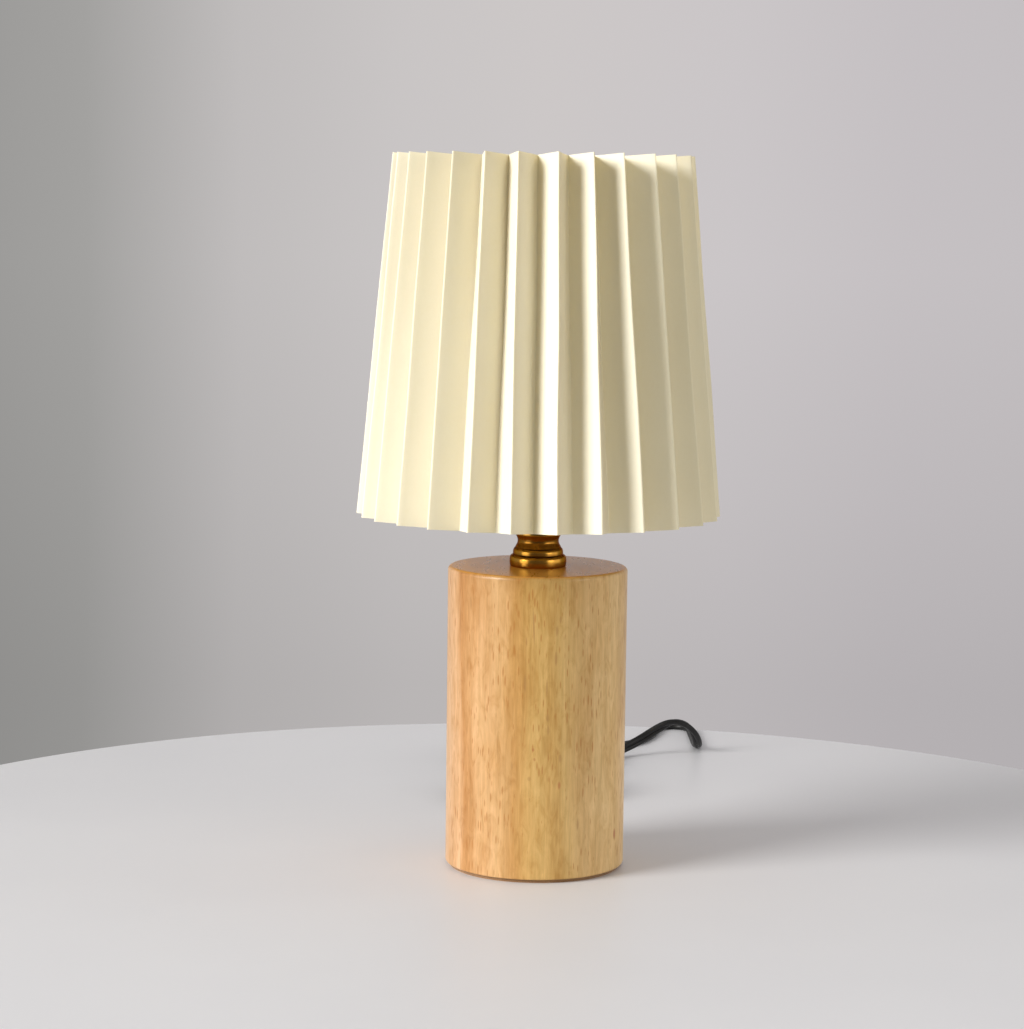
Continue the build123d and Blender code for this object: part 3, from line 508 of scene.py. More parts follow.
FINISH = {
    "wood_base": WOOD, "base_pad": FOOT, "threaded_tube": ZINC, "rod_nut": ZINC, "rod_washer": ZINC,
    "rod_lock_washer": ZINC, "brass_neck": BRASS, "lampholder_cap": HOLDER, "cap_lock_nut": ZINC,
    "lampholder_body": HOLDER, "lampholder_core": CERAMIC, "screw_shell": CONTACT, "centre_contact": CONTACT,
    "terminal_screws": ZINC, "fitter_ring": ENAMEL, "ring_nut_washer": ZINC, "shade_ring_nut": HOLDER,
    "shade_spider_arms": ENAMEL, "shade_bottom_ring": ENAMEL, "shade_top_ring": ENAMEL,
    "shade_pleats": PAPER, "bulb_tip_contact": CONTACT, "bulb_insulator": BULB_BLACK,
    "bulb_screw_cap": BULB_METAL, "bulb_housing": BULB_WHITE, "bulb_led_board": BOARD,
    "bulb_diffuser": GLOBE, "cord_inner": CORD, "wire_live": WIRE_BROWN, "wire_neutral": WIRE_BLUE,
    "cord_strain_relief": PLUG, "cord_lead": CORD, "cord_switch_tail": CORD, "cord_coil": CORD,
    "cord_plug_tail": CORD, "coil_tie": TIE, "switch_lower_housing": SWITCH, "switch_upper_housing": SWITCH,
    "switch_rocker_pin": ZINC, "switch_rocker": ROCKER, "switch_contact_blade": CONTACT,
    "switch_terminals": CONTACT, "switch_screws": ZINC, "plug_body": PLUG, "plug_blades": PINS,
}
for node_name, ob in nodes.items():
    dress(ob, FINISH[node_name])


# ------------------------------------------------------------------ mains cord
LIE = 1.6          # height of the flat cord's centre where it lies flat
STAND = 2.72       # where it stands on edge
HALF_W, CORE_R = 2.65, 1.5

# (x, y, z, roll): roll is 0 where the cord lies flat and 90 where it stands on edge
LEAD = [
    (0, 64, 10, 0), (0.5, 79, 8.2, 0), (7, 95, 3.3, 0), (20, 110, LIE, 0), (31.5, 129, LIE, 0),
    (37.5, 152, LIE, 0), (37.5, 178, LIE + 0.1, 4), (35.5, 204, 2.3, 45), (36.5, 224, STAND, 86),
    (42.5, 239.5, 3.2, 90), (54.5, 248, 7.0, 88), (66.6, 250.5, 14.8, 70), (74.2, 251, 18.6, 10),
    (81.2, 251.5, 17.0, -5), (85.6, 253.5, 12.4, -8), (87.8, 257.2, 7.4, -8), (88.6, 263.4, 3.2, -4),
    (88.5, 272.5, LIE, 0), (88.2, 284, LIE, 0), (87.9, 296, LIE, 0), (87.7, 308, LIE, 0), (87.3, 318.6, LIE, 0),
    (83.6, 324.0, LIE, 0), (77.5, 326.0, LIE, 0), (71.5, 323.8, LIE, 0), (68.0, 317.6, LIE, 0),
    (66.6, 307.5, LIE, 0), (64.0, 297.5, LIE, 0), (60.6, 287.5, LIE, 0), (56.2, 278, LIE, 0),
    (49.5, 269.8, LIE, 0), (40.3, 265, LIE, 0), (29.5, 264, LIE, 0), (18, 266.2, LIE, 0), (8, 271.3, LIE, 0),
    (-3, 275.4, 1.9, 0), (-13.9, 273.2, 3.6, 0), (-21.2, 265.6, 5.6, 0), (-22, 254, 6.8, 0),
]
THROUGH_SWITCH = [(-22, 245, 6.0, 0), (-22, 234, 5.0, 0), (-22, 225, 4.8, 0), (-22, 216, 5.0, 0), (-22, 205, 6.0, 0)]
TAIL = [(-22, 196, 6.8, 0), (-22.3, 184.5, 5.4, 0), (-27.5, 171, 3.9, 35), (-33.5, 160.5, 3.1, 80)]
COIL_C = (-8.0, 140.0)
COLUMNS, ROWS = (32.2, 29.0, 25.8), (2.75, 8.15)
PLACES = [(0, 0), (1, 0), (2, 0), (2, 1), (1, 1), (0, 1)]     # column and row of each turn, in order
PER_TURN = 18


def coil_points():
    """Six turns on edge, side by side in two layers under the tie, and half a turn flat on top of them."""
    pts = []
    grow = 1 / 0.9886     # the spline runs inside its points by this much
    for turn, (col, row) in enumerate(PLACES):
        r0, z0 = COLUMNS[col], ROWS[row]
        last = turn == len(PLACES) - 1
        r1, z1 = (29.6, 12.2) if last else (COLUMNS[PLACES[turn + 1][0]], ROWS[PLACES[turn + 1][1]])
        for k in range(PER_TURN):
            a = 180.0 + 360.0 * (k + 0.5) / PER_TURN
            along = (a - 180.0) / 360.0
            t = smooth((along - 0.80) / 0.20)
            r = r0 + (r1 - r0) * t
            z = z0 + (z1 - z0) * t
            roll = 90.0
            side = math.sin(math.pi * t)
            if turn == 2:
                r -= 2.2 * side
            if last:
                r += 3.4 * side
                roll = 90.0 * (1 - t)
            # the tie at the far side lifts the turns a little
            lift = 0.75 * math.exp(-(((a - 450.0) / 26.0) ** 2))
            pts.append((COIL_C[0] + r * grow * math.cos(math.radians(a)),
                        COIL_C[1] + r * grow * math.sin(math.radians(a)), z + lift, roll))
    for a, r, z in ((192, 29.4, 12.85), (213, 29.0, 12.95), (234, 28.6, 12.95), (255, 28.6, 12.95), (276, 29.0, 12.95),
                    (297, 29.6, 12.95), (318, 30.4, 12.95), (338, 31.4, 12.95)):
        pts.append((COIL_C[0] + r * math.cos(math.radians(a)), COIL_C[1] + r * math.sin(math.radians(a)), z, 0.0))
    return pts


PLUG_TAIL = [(22.6, 140.0, 13.0, 0), (22.2, 150.0, 12.9, 0), (20.4, 161, 11.4, 0), (17.4, 172, 8.6, 0),
             (14.6, 182, 6.9, 0), (14, 191, 6.5, 0), (14, 199, 6.5, 0)]
ROUTE = LEAD + THROUGH_SWITCH + TAIL + coil_points() + PLUG_TAIL


def route_spline(points):
    curve = bpy.data.curves.new("cord_route", "CURVE")
    curve.dimensions = "3D"
    sp = curve.splines.new("NURBS")
    sp.points.add(len(points) - 1)
    for p, q in zip(sp.points, points):
        p.co = (q[0] * MM, q[1] * MM, q[2] * MM, 1.0)
    sp.order_u = 3
    sp.use_endpoint_u = True
    sp.resolution_u = 8
    curve.resolution_u = 8
    ob = add_object("cord_route", curve)
    bpy.context.view_layer.update()
    line = bpy.data.meshes.new_from_object(ob)
    pts = [v.co.copy() for v in line.vertices]
    bpy.data.meshes.remove(line)
    bpy.data.objects.remove(ob)
    out = [pts[0]]
    for p in pts[1:]:
        if (p - out[-1]).length > 2e-4:
            out.append(p)
    return out


def rolls_along(path, points):
    """The roll at each path point, from the route points nearest to it, in order."""
    marks, start = [], 0
    for q in points:
        p = Vector(q[:3]) * MM
        best = min(range(start, min(len(path), start + 60)), key=lambda i: (path[i] - p).length)
        marks.append(best)
        start = best
    marks[0], marks[-1] = 0, len(path) - 1
    rolls = []
    j = 0
    for i in range(len(path)):
        while j < len(marks) - 2 and i > marks[j + 1]:
            j += 1
        a, b = marks[j], marks[j + 1]
        t = 0.0 if b == a else (i - a) / (b - a)
        rolls.append(points[j][3] + (points[j + 1][3] - points[j][3]) * min(1.0, max(0.0, t)))
    for _ in range(2):
        rolls = [rolls[0]] + [(rolls[i - 1] + 2 * rolls[i] + rolls[i + 1]) / 4 for i in range(1, len(rolls) - 1)] + [rolls[-1]]
    return [math.radians(x) for x in rolls]


def twin_section():
    """Outline of the flat twin cord in mm: two round cores side by side, with a groove between."""
    pts = []
    off = HALF_W - CORE_R
    groove = 0.98
    a0 = math.degrees(math.acos(min(1.0, (off - 0.32) / CORE_R)))
    for i in range(15):
        a = math.radians(-180 + a0 + (360 - 2 * a0) * i / 14)
        pts.append((off + CORE_R * math.cos(a), CORE_R * math.sin(a)))
    pts.append((0.0, groove))
    for i in range(15):
        a = math.radians(a0 + (360 - 2 * a0) * i / 14)
        pts.append((-off + CORE_R * math.cos(a), CORE_R * math.sin(a)))
    pts.append((0.0, -groove))
    return pts


cord_path = route_spline(ROUTE)
cord_rolls = rolls_along(cord_path, ROUTE)
SECTION = twin_section()


def cord_section(i):
    a = cord_path[max(0, i - 1)]
    b = cord_path[min(len(cord_path) - 1, i + 1)]
    t = (b - a).normalized()
    up = Vector((0, 0, 1))
    up = (up - t * up.dot(t)).normalized()
    side = t.cross(up)
    w = side * math.cos(cord_rolls[i]) + up * math.sin(cord_rolls[i])
    h = up * math.cos(cord_rolls[i]) - side * math.sin(cord_rolls[i])
    return [cord_path[i] + w * (u * MM) + h * (v * MM) for u, v in SECTION]


cord = sweep("mains_cord", cord_path, cord_section)
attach(dress(cord, CORD), "root")
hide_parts("cord_lead", "cord_switch_tail", "cord_coil", "cord_plug_tail")


# sleeve where the cord leaves the base: tapered, with ribs
def relief_profile():
    p = [(2.75, 22.0), (3.75, 22.0), (3.9, 22.3), (3.9, 40.05), (5.7, 40.05), (6.0, 40.3), (6.0, 41.0), (5.8, 41.2),
         (5.2, 41.5)]
    y = 42.6
    n = 7
    for i in range(n):
        r = 4.75 - 1.45 * i / (n - 1)
        w = 1.75 - 0.25 * i / (n - 1)
        p += [(r - 0.75, y - 0.55), (r - 0.15, y - 0.35), (r, y), (r - 0.03, y + w - 0.35), (r - 0.2, y + w),
              (r - 0.78, y + w + 0.2)]
        y += w + 1.25
    p += [(3.05, 63.0), (3.1, 63.6), (3.0, 64.0), (2.75, 64.0)]
    return p


relief = lathe("cord_sleeve", relief_profile(), 96,
               Matrix.Translation((0, 0, 0.010)) @ Matrix.Rotation(-math.pi / 2, 4, "X"), crease=50)
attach(dress(relief, PLUG), "root")
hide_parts("cord_strain_relief")


# band round the coil
def tie_band():
    cx, cz = COIL_C[1] + 28.85, 6.3
    path = []
    for k in range(48):
        a = 2 * math.pi * k / 48
        c, s = math.cos(a), math.sin(a)
        # a rounded square round the bundle
        n = 5.0
        r = 1.0 / ((abs(c) ** n + abs(s) ** n) ** (1 / n))
        path.append((cx + 5.85 * r * c, cz + 5.85 * r * s))
    verts, faces = [], []
    lens = [(-4.5, 0.0), (-4.2, 0.32), (-2.5, 0.40), (0.0, 0.43), (2.5, 0.40), (4.2, 0.32), (4.5, 0.0), (4.2, -0.3),
            (0.0, -0.34), (-4.2, -0.3)]
    for k, (py, pz) in enumerate(path):
        d = Vector((0, py - cx, pz - cz)).normalized()
        wave = 0.12 * math.sin(7 * math.pi * 2 * k / 48) * (1 if pz > 4 else 0.2)
        for u, h in lens:
            z = max(0.02, pz + d.z * (h + wave))
            verts.append(((COIL_C[0] + u * (1 + 0.02 * math.sin(k))) * MM, (py + d.y * (h + wave)) * MM, z * MM))
    m = len(lens)
    for k in range(48):
        for j in range(m):
            a, b = k * m, ((k + 1) % 48) * m
            faces.append((a + j, a + (j + 1) % m, b + (j + 1) % m, b + j))
    return add_mesh("coil_band", verts, faces, 60)


band = tie_band()
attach(dress(band, TIE), "root")
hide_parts("coil_tie")


# plug: ribbed grip that swells to the flat face
def plug_mesh():
    x0, z0 = 14.0, 6.5
    stations = []
    def add(y, hw, hh, n):
        stations.append((y, hw, hh, n))
    # sleeve with ribs
    add(191.0, 2.9, 2.4, 2.0)
    add(191.3, 3.2, 2.8, 2.0)
    y = 191.6
    for i in range(5):
        r = 3.3 + 0.9 * i / 4
        add(y, r, r * 0.93, 2.0)
        add(y + 1.5, r + 0.05, r * 0.94, 2.0)
        add(y + 1.75, r - 0.55, r * 0.78, 2.0)
        add(y + 2.75, r - 0.5, r * 0.80, 2.0)
        y += 3.05
    add(207.2, 4.6, 4.3, 2.1)
    add(209.0, 7.0, 5.1, 2.6)
    add(211.0, 8.1, 5.45, 3.0)
    # finger ribs on the grip
    for i in range(4):
        yy = 212.6 + i * 2.5
        f = (yy - 211.0) / 22.0
        hw, hh = 8.3 + 3.2 * smooth(f), 5.5 + 0.85 * f
        add(yy, hw, hh, 3.4)
        add(yy + 0.35, hw - 0.45, hh - 0.4, 3.4)
        add(yy + 0.95, hw - 0.45, hh - 0.4, 3.4)
        add(yy + 1.3, hw + 0.1, hh, 3.4)
    add(223.5, 10.7, 6.1, 3.8)
    add(227.0, 11.5, 6.35, 4.2)
    add(231.5, 11.95, 6.48, 4.6)
    add(232.6, 11.9, 6.42, 4.6)
    add(233.0, 11.4, 6.0, 4.6)
    verts, faces = [], []
    n = 64
    for yy, hw, hh, p in stations:
        for k in range(n):
            a = 2 * math.pi * k / n
            c, s = math.cos(a), math.sin(a)
            q = 1.0 / ((abs(c) ** p + abs(s) ** p) ** (1 / p))
            verts.append(((x0 + hw * q * c) * MM, yy * MM, max(0.01, z0 + hh * q * s) * MM))
    for i in range(len(stations) - 1):
        for k in range(n):
            a, b = i * n, (i + 1) * n
            faces.append((a + k, a + (k + 1) % n, b + (k + 1) % n, b + k))
    faces.append(tuple(range(n)))
    faces.append(tuple(reversed(range((len(stations) - 1) * n, len(stations) * n))))
    return add_mesh("plug_grip", verts, faces, 38)


plug = plug_mesh()
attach(dress(plug, PLUG), "root")
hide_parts("plug_body")


# switch: on and off marks on the rocker's two faces
def rocker_marks():
    tilt = math.radians(-9.0)
    place = Matrix.Translation((-0.022, 0.225, 0.0116)) @ Matrix.Rotation(tilt, 4, "X")
    made = []
    for sign in (1, -1):
        # the face from 4.2 to 8.1 mm slopes up by 1 mm
        slope = math.atan2(1.0, 3.9) * sign
        centre = place @ Matrix.Translation((0, sign * 6.15 * MM, 4.0 * MM)) @ Matrix.Rotation(slope, 4, "X")
        verts, faces = [], []
        if sign > 0:
            n = 40
            for ring_r, h in ((0.95, -0.05), (0.95, 0.10), (1.32, 0.10), (1.32, -0.05)):
                for k in range(n):
                    a = 2 * math.pi * k / n
                    verts.append(centre @ Vector((ring_r * math.cos(a) * MM, ring_r * math.sin(a) * MM, h * MM)))
            for i in range(4):
                for k in range(n):
                    a, b = i * n, ((i + 1) % 4) * n
                    faces.append((a + k, a + (k + 1) % n, b + (k + 1) % n, b + k))
            name = "rocker_mark_off"
        else:
            n = 24
            for h in (-0.05, 0.10):
                for k in range(n):
                    a = 2 * math.pi * k / n
                    c, s = math.cos(a), math.sin(a)
                    q = 1.0 / ((abs(c) ** 6 + abs(s) ** 6) ** (1 / 6))
                    verts.append(centre @ Vector((0.2 * q * c * MM, 1.3 * q * s * MM, h * MM)))
            for k in range(n):
                faces.append((k, (k + 1) % n, n + (k + 1) % n, n + k))
            faces.append(tuple(reversed(range(n))))
            faces.append(tuple(range(n, 2 * n)))
            name = "rocker_mark_on"
        ob = add_mesh(name, verts, faces, 40)
        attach(dress(ob, MARK), "rocker")
        made.append(ob)
    return made


marks = rocker_marks()


# ------------------------------------------------------------------ pleated shade
PLEATS = 26


def fold_table():
    """Angles of the outer folds seen at the front: a list at the top and a list at the bottom."""
    top = [-79.0, -70.5, -59.3, -47.9, -34.7, -21.3, -8.9, 5.6, 18.5, 30.5, 45.3, 58.4, 73.9]
    low = [-86.0, -72.7, -61.0, -48.3, -35.2, -21.5, -8.2, 5.6, 19.4, 33.5, 47.6, 61.3, 75.0]
    return top, low


def shade_folds():
    rnd = random.Random(11)
    top, low = fold_table()
    seen = len(top)
    rest = PLEATS - seen
    t_step = (top[0] + 360 - top[-1]) / (rest + 1)
    l_step = (low[0] + 360 - low[-1]) / (rest + 1)
    for i in range(1, rest + 1):
        j = rnd.uniform(-0.9, 0.9)
        top.append(top[seen - 1] + t_step * i + j)
        low.append(low[seen - 1] + l_step * i + j * 0.8)
    return top, low


def at(angle, r, z):
    a = math.radians(angle)
    return Vector((r * math.sin(a), -r * math.cos(a), z))


R_OUT_LOW, R_OUT_TOP, R_IN_LOW, R_IN_TOP = 81.1, 66.8, 68.2, 52.8
Z_OUT_LOW, Z_OUT_TOP, Z_IN_LOW, Z_IN_TOP = 158.3, 316.7, 157.1, 315.4
PAPER_T = 0.42
ROWS_UP = 34
PANEL_CUTS = 7


def shade_lines():
    """Fold lines in order round the shade: (lower point, upper point, is it an outer fold)."""
    rnd = random.Random(5)
    top, low = shade_folds()
    lines = []
    for k in range(PLEATS):
        nt, nl = top[(k + 1) % PLEATS], low[(k + 1) % PLEATS]
        if k == PLEATS - 1:
            nt, nl = nt + 360, nl + 360
        jr = rnd.uniform(-0.35, 0.0)
        lines.append((at(low[k], R_OUT_LOW + jr, Z_OUT_LOW), at(top[k], R_OUT_TOP + jr * 0.6, Z_OUT_TOP), True))
        ji = rnd.uniform(-0.5, 0.5)
        lines.append((at(low[k] + 0.465 * (nl - low[k]), R_IN_LOW + ji, Z_IN_LOW),
                      at(top[k] + 0.440 * (nt - top[k]), R_IN_TOP + ji, Z_IN_TOP), False))
    return lines


def shade_rows():
    """The paper's middle line at each height: rows of (point, 2-D normal outwards)."""
    rnd = random.Random(23)
    lines = shade_lines()
    n = len(lines)
    bow = [rnd.uniform(-0.35, 0.75) for _ in range(n)]
    bow_up = [rnd.uniform(0.3, 0.7) for _ in range(n)]
    wob = [(rnd.uniform(0, 6.28), rnd.uniform(0.8, 1.7), rnd.uniform(0.10, 0.30), rnd.uniform(0, 6.28)) for _ in range(n)]
    rows = []
    for i in range(ROWS_UP + 1):
        w = i / ROWS_UP
        corners = []
        for j, (lo, hi, outer) in enumerate(lines):
            p = lo.lerp(hi, w)
            ph, f, amp, ph2 = wob[j]
            free = math.sin(math.pi * w)
            radial = Vector((p.x, p.y, 0)).normalized()
            along = Vector((-radial.y, radial.x, 0))
            p = p + radial * (amp * free * math.sin(ph + f * math.pi * 2 * w))
            p = p + along * (amp * 1.2 * free * math.sin(ph2 + f * math.pi * 1.6 * w))
            corners.append(p)
        row = []
        cut = 0.75
        for j in range(n):
            c, a, b = corners[j], corners[j - 1], corners[(j + 1) % n]
            ua, ub = (a - c).normalized(), (b - c).normalized()
            pa, pb = c + ua * cut, c + ub * cut
            for s in (0.0, 0.25, 0.5, 0.75, 1.0):
                row.append(pa * (1 - s) ** 2 + c * (2 * s * (1 - s)) + pb * s ** 2)
            # flat panel to the next fold, with a slight bow
            d = corners[(j + 1) % n]
            ud = (c - d).normalized()
            qa, qb = pb, d + ud * cut
            side = Vector((ud.y, -ud.x, 0))
            depth = bow[j] * (0.55 + 0.45 * math.sin(math.pi * (w * 0.8 + bow_up[j] * 0.4)))
            for m in range(1, PANEL_CUTS + 1):
                s = m / (PANEL_CUTS + 1)
                row.append(qa.lerp(qb, s) + side * (depth * 4 * s * (1 - s)))
        rows.append(row)
    return rows


def build_shade():
    rows = shade_rows()
    n = len(rows[0])
    verts, faces = [], []
    half = PAPER_T / 2
    for side in (1, -1):
        for row in rows:
            for j in range(n):
                d = row[(j + 1) % n] - row[j - 1]
                nrm = Vector((d.y, -d.x, 0)).normalized()
                verts.append((row[j] + nrm * (half * side)) * MM)
    layer = n * len(rows)
    for i in range(len(rows) - 1):
        for j in range(n):
            a, b, c, d = i * n + j, i * n + (j + 1) % n, (i + 1) * n + (j + 1) % n, (i + 1) * n + j
            faces.append((a, b, c, d))
            faces.append((layer + d, layer + c, layer + b, layer + a))
    last = (len(rows) - 1) * n
    for j in range(n):
        k = (j + 1) % n
        faces.append((layer + j, layer + k, k, j))
        faces.append((last + j, last + k, layer + last + k, layer + last + j))
    ob = add_mesh("paper_shade", verts, faces, 42)
    return ob, rows


shade, shade_mid = build_shade()
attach(dress(shade, PAPER), "shade")
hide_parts("shade_pleats")


def seam_flap():
    """The paper's end glued over its beginning, one panel wide, at the back."""
    per = 5 + PANEL_CUTS
    n = len(shade_mid[0])
    j0 = 36 * per + 5          # first panel point after a fold at the back
    cols = list(range(j0 - 3, j0 + PANEL_CUTS + 1))
    verts, faces = [], []
    m = len(cols)
    for gap in (PAPER_T * 0.5 + 0.02, PAPER_T * 1.5):
        for row in shade_mid:
            for c in cols:
                d = row[(c + 1) % n] - row[(c - 1) % n]
                nrm = Vector((d.y, -d.x, 0)).normalized()
                verts.append((row[c % n] + nrm * gap) * MM)
    layer = m * len(shade_mid)
    r = len(shade_mid)
    for i in range(r - 1):
        for j in range(m - 1):
            a, b, c, d = i * m + j, i * m + j + 1, (i + 1) * m + j + 1, (i + 1) * m + j
            faces.append((d, c, b, a))
            faces.append((layer + a, layer + b, layer + c, layer + d))
        for j in (0, m - 1):
            faces.append((i * m + j, (i + 1) * m + j, layer + (i + 1) * m + j, layer + i * m + j))
    for i in (0, r - 1):
        for j in range(m - 1):
            faces.append((i * m + j, i * m + j + 1, layer + i * m + j + 1, layer + i * m + j))
    return add_mesh("paper_seam", verts, faces, 42)


flap = seam_flap()
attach(dress(flap, PAPER), "shade")


# ------------------------------------------------------------------ brass neck
def neck_profile():
    return [
        (5.1, 135.0), (12.0, 135.0), (12.28, 135.1), (12.45, 135.35), (12.58, 135.9), (12.66, 136.6), (12.68, 137.3),
        (12.66, 138.1), (12.58, 138.8), (12.42, 139.35), (12.15, 139.75), (11.8, 140.02), (11.45, 140.2),
        (11.22, 140.38), (11.14, 140.6), (11.16, 140.9), (11.18, 141.3), (11.14, 141.8), (11.03, 142.3),
        (10.85, 142.75), (10.62, 143.05), (10.42, 143.2), (10.3, 143.35), (10.2, 143.6), (10.02, 144.0), (9.72, 144.5),
        (9.45, 145.0), (9.26, 145.5), (9.16, 146.0), (9.14, 146.5), (9.2, 147.0), (9.34, 147.6), (9.58, 148.2),
        (9.9, 148.75), (10.12, 149.05), (10.2, 149.3), (10.22, 149.6), (10.22, 150.7), (10.05, 151.0), (5.1, 151.0)]


neck = lathe("neck_turned", neck_profile(), 200, crease=50)
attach(dress(neck, BRASS), "root")
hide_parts("brass_neck")


# ------------------------------------------------------------------ bulb's screw cap
def screw_cap():
    steps, rows = 120, 66
    z0, z1, pitch = 187.4, 204.6, 25.4 / 7
    verts, faces = [], []
    prof = [(9.6, 184.6), (10.6, 184.95), (11.7, 185.6), (12.3, 186.5)]
    rings = []
    for r, z in prof:
        rings.append([(r, z)] * steps)
    for i in range(rows + 1):
        z = z0 + (z1 - z0) * i / rows
        fade = smooth((z - z0) / 1.2) * smooth((z1 - z) / 1.2)
        ring = []
        for k in range(steps):
            ph = 2 * math.pi * ((z - z0) / pitch - k / steps)
            ring.append((12.52 + (0.42 * math.cos(ph) * fade), z))
        rings.append(ring)
    for r, z in ((12.6, 205.2), (12.6, 205.5), (12.4, 205.5), (12.0, 205.0), (12.0, 188.0), (11.2, 186.6), (9.6, 186.2)):
        rings.append([(r, z)] * steps)
    for ring in rings:
        for k, (r, z) in enumerate(ring):
            a = 2 * math.pi * k / steps
            verts.append((r * MM * math.cos(a), r * MM * math.sin(a), z * MM))
    m = len(rings)
    for i in range(m):
        for k in range(steps):
            a, b = i * steps, ((i + 1) % m) * steps
            faces.append((a + k, a + (k + 1) % steps, b + (k + 1) % steps, b + k))
    return add_mesh("bulb_thread", verts, faces, 50)


cap = screw_cap()
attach(dress(cap, BULB_METAL), "bulb")
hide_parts("bulb_screw_cap")


# ------------------------------------------------------------------ floor and light
def make_floor():
    p = [(0.0, 0.0), (356.0, 0.0), (358.5, -0.7), (360.0, -3.0), (360.0, -16.0), (0.0, -16.0)]
    ob = lathe("floor", p, 256, Matrix.Translation((0, -0.02, 0)), crease=40)
    k = Look("floor_paint", rough=0.42, spec=0.32)
    cloud = k.noise(k.mapped((9, 9, 9)), 1.0, 3.0, 0.5)
    fine = k.noise(k.mapped((420, 420, 420)), 1.0, 3.0, 0.6)
    k.drive("color", k.ramp(cloud, (0.3, (0.820, 0.822, 0.842)), (0.7, (0.840, 0.842, 0.860))))
    k.drive("rough", k.span(fine, 0.2, 0.8, 0.38, 0.48))
    k.drive("normal", k.bump(fine, 0.04, 0.0003))
    dress(ob, k)


make_floor()


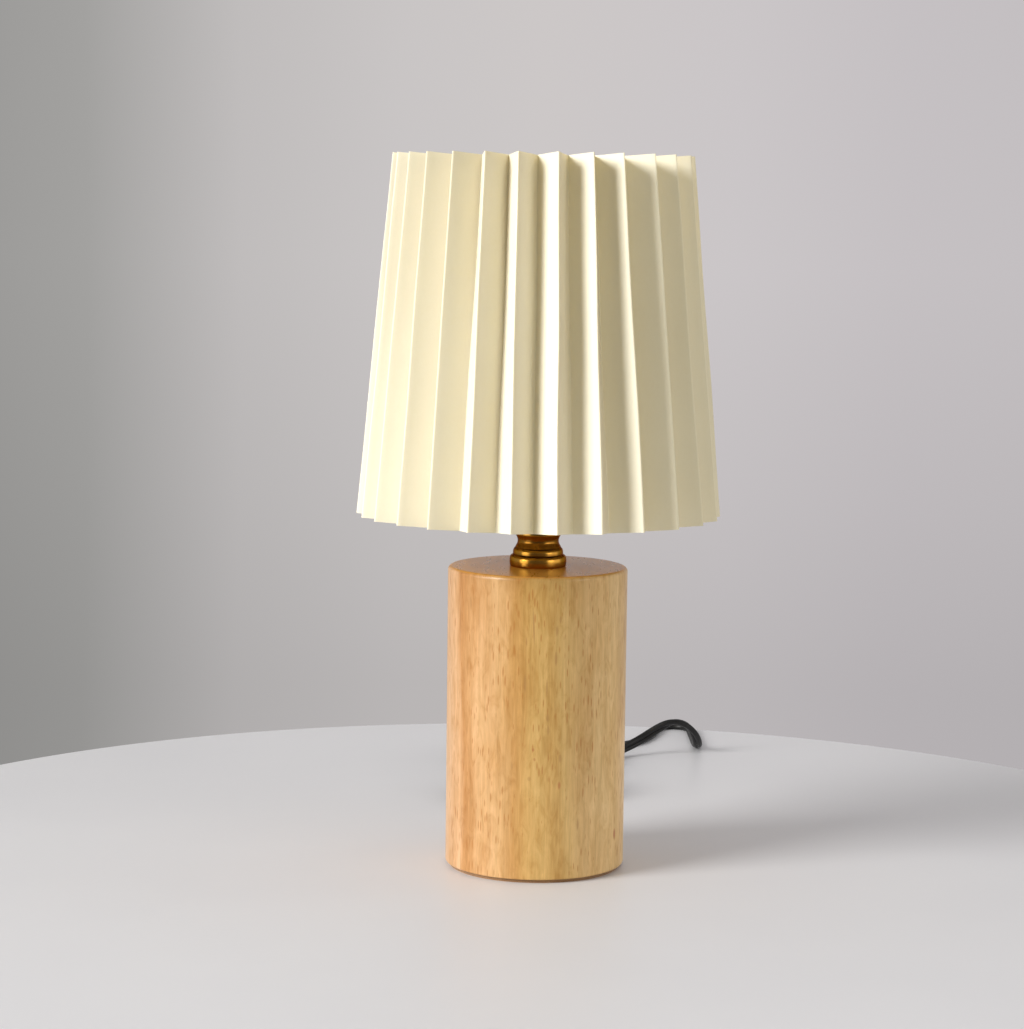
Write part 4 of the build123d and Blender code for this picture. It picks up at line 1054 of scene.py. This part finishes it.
def make_light():
    world = bpy.data.worlds.new("studio")
    world.use_nodes = True
    t = world.node_tree
    t.nodes.clear()
    out = t.nodes.new("ShaderNodeOutputWorld")
    bg = t.nodes.new("ShaderNodeBackground")
    bg.inputs["Strength"].default_value = 1.0
    t.links.new(bg.outputs[0], out.inputs["Surface"])
    bpy.context.scene.world = world

    # the walls of the studio, by direction: brightness along X at the back, darker towards the front
    where = t.nodes.new("ShaderNodeTexCoord")
    sep = t.nodes.new("ShaderNodeSeparateXYZ")
    t.links.new(where.outputs["Generated"], sep.inputs[0])

    def ramp(socket, lo, hi, stops):
        m = t.nodes.new("ShaderNodeMapRange")
        m.inputs["From Min"].default_value, m.inputs["From Max"].default_value = lo, hi
        t.links.new(socket, m.inputs["Value"])
        r = t.nodes.new("ShaderNodeValToRGB")
        e = r.color_ramp.elements
        while len(e) < len(stops):
            e.new(0.5)
        for el, (x, c) in zip(e, stops):
            el.position = (x - lo) / (hi - lo)
            el.color = (*c, 1.0) if isinstance(c, tuple) else (c, c, c, 1.0)
        t.links.new(m.outputs[0], r.inputs["Fac"])
        return r.outputs["Color"]

    def times(a, b):
        m = t.nodes.new("ShaderNodeMix")
        m.data_type, m.blend_type = "RGBA", "MULTIPLY"
        m.inputs[0].default_value = 1.0
        t.links.new(a, m.inputs[6])
        t.links.new(b, m.inputs[7])
        return m.outputs[2]

    across = ramp(sep.outputs[0], -1.0, 1.0, [
        (-1.0, (0.60, 0.585, 0.575)), (-0.40, (0.52, 0.51, 0.505)), (-0.21, (0.325, 0.320, 0.312)),
        (-0.165, (0.362, 0.356, 0.347)), (-0.11, (0.525, 0.505, 0.502)), (-0.05, (0.585, 0.560, 0.558)),
        (0.0, (0.605, 0.575, 0.572)), (0.07, (0.595, 0.565, 0.575)), (0.13, (0.560, 0.530, 0.545)),
        (0.40, (0.50, 0.485, 0.49)), (1.0, (0.50, 0.49, 0.49))])
    upward = ramp(sep.outputs[2], -0.5, 1.0, [
        (-0.50, 0.80), (-0.17, 0.83), (-0.10, 0.92), (-0.02, 1.0), (0.12, 1.0), (0.4, 0.92), (1.0, 0.88)])
    forward = ramp(sep.outputs[1], -1.0, 1.0, [(-1.0, 0.30), (-0.80, 0.36), (-0.45, 0.80), (0.1, 0.95), (0.6, 1.0)])
    t.links.new(times(times(across, upward), forward), bg.inputs["Color"])

    def aim(ob, towards):
        ob.rotation_mode = "QUATERNION"
        ob.rotation_quaternion = Vector(towards).to_track_quat("-Z", "Y")

    def sun(name, energy, azimuth, elevation, width, color, only=None):
        """Azimuth in degrees to the left of the front."""
        data = bpy.data.lights.new(name, "SUN")
        data.energy = energy
        data.angle = math.radians(width)
        data.color = color
        ob = add_object(name, data)
        a, e = math.radians(azimuth), math.radians(elevation)
        aim(ob, (math.sin(a) * math.cos(e), math.cos(a) * math.cos(e), -math.sin(e)))
        if only:
            group = bpy.data.collections.new(name + "_on")
            for piece in only:
                group.objects.link(piece)
            ob.light_linking.receiver_collection = group

    sun("key", 2.8, 59.0, 25.0, 26.0, (1.0, 0.985, 0.965))
    sun("shade_key", 3.0, 59.0, 24.0, 24.0, (0.92, 0.98, 1.0), [shade, flap])

    def softbox(name, place, size, watts, color=(1, 1, 1), towards=(0, 0, 0.2), only=None, mirrored=True):
        data = bpy.data.lights.new(name, "AREA")
        data.shape = "RECTANGLE"
        data.size, data.size_y = size
        data.energy = watts
        data.color = color
        ob = add_object(name, data)
        ob.location = place
        aim(ob, Vector(towards) - Vector(place))
        ob.visible_glossy = mirrored
        if only:
            group = bpy.data.collections.new(name + "_on")
            for piece in only:
                group.objects.link(piece)
            ob.light_linking.receiver_collection = group

    softbox("neck_left", (-1.30, -0.75, 0.50), (1.0, 1.4), 12.0, (1.0, 0.98, 0.90), towards=(0, 0, 0.14), only=[neck])
    softbox("neck_right", (1.43, -0.46, 0.50), (1.7, 1.4), 9.0, (1.0, 0.97, 0.92), towards=(0, 0, 0.14), only=[neck])
    softbox("front_fill", (0.3, -2.4, 1.1), (2.2, 1.8), 9.0, (1.0, 0.99, 0.98), only=[nodes["wood_base"], neck], mirrored=False)
    softbox("shade_fill", (0.7, -2.3, 1.0), (1.8, 1.6), 17.5, (0.99, 0.99, 0.72), only=[shade, flap])
    softbox("right_window", (1.70, -1.25, 0.55), (1.0, 0.9), 6.3, (1.0, 0.97, 0.93))
    softbox("right_rim", (1.9, 0.55, 0.30), (0.6, 0.9), 5.0, (1.0, 0.98, 0.95), towards=(0, 0, 0.1), mirrored=False)


make_light()
bpy.context.scene.view_settings.view_transform = "Standard"
bpy.context.scene.view_settings.look = "None"
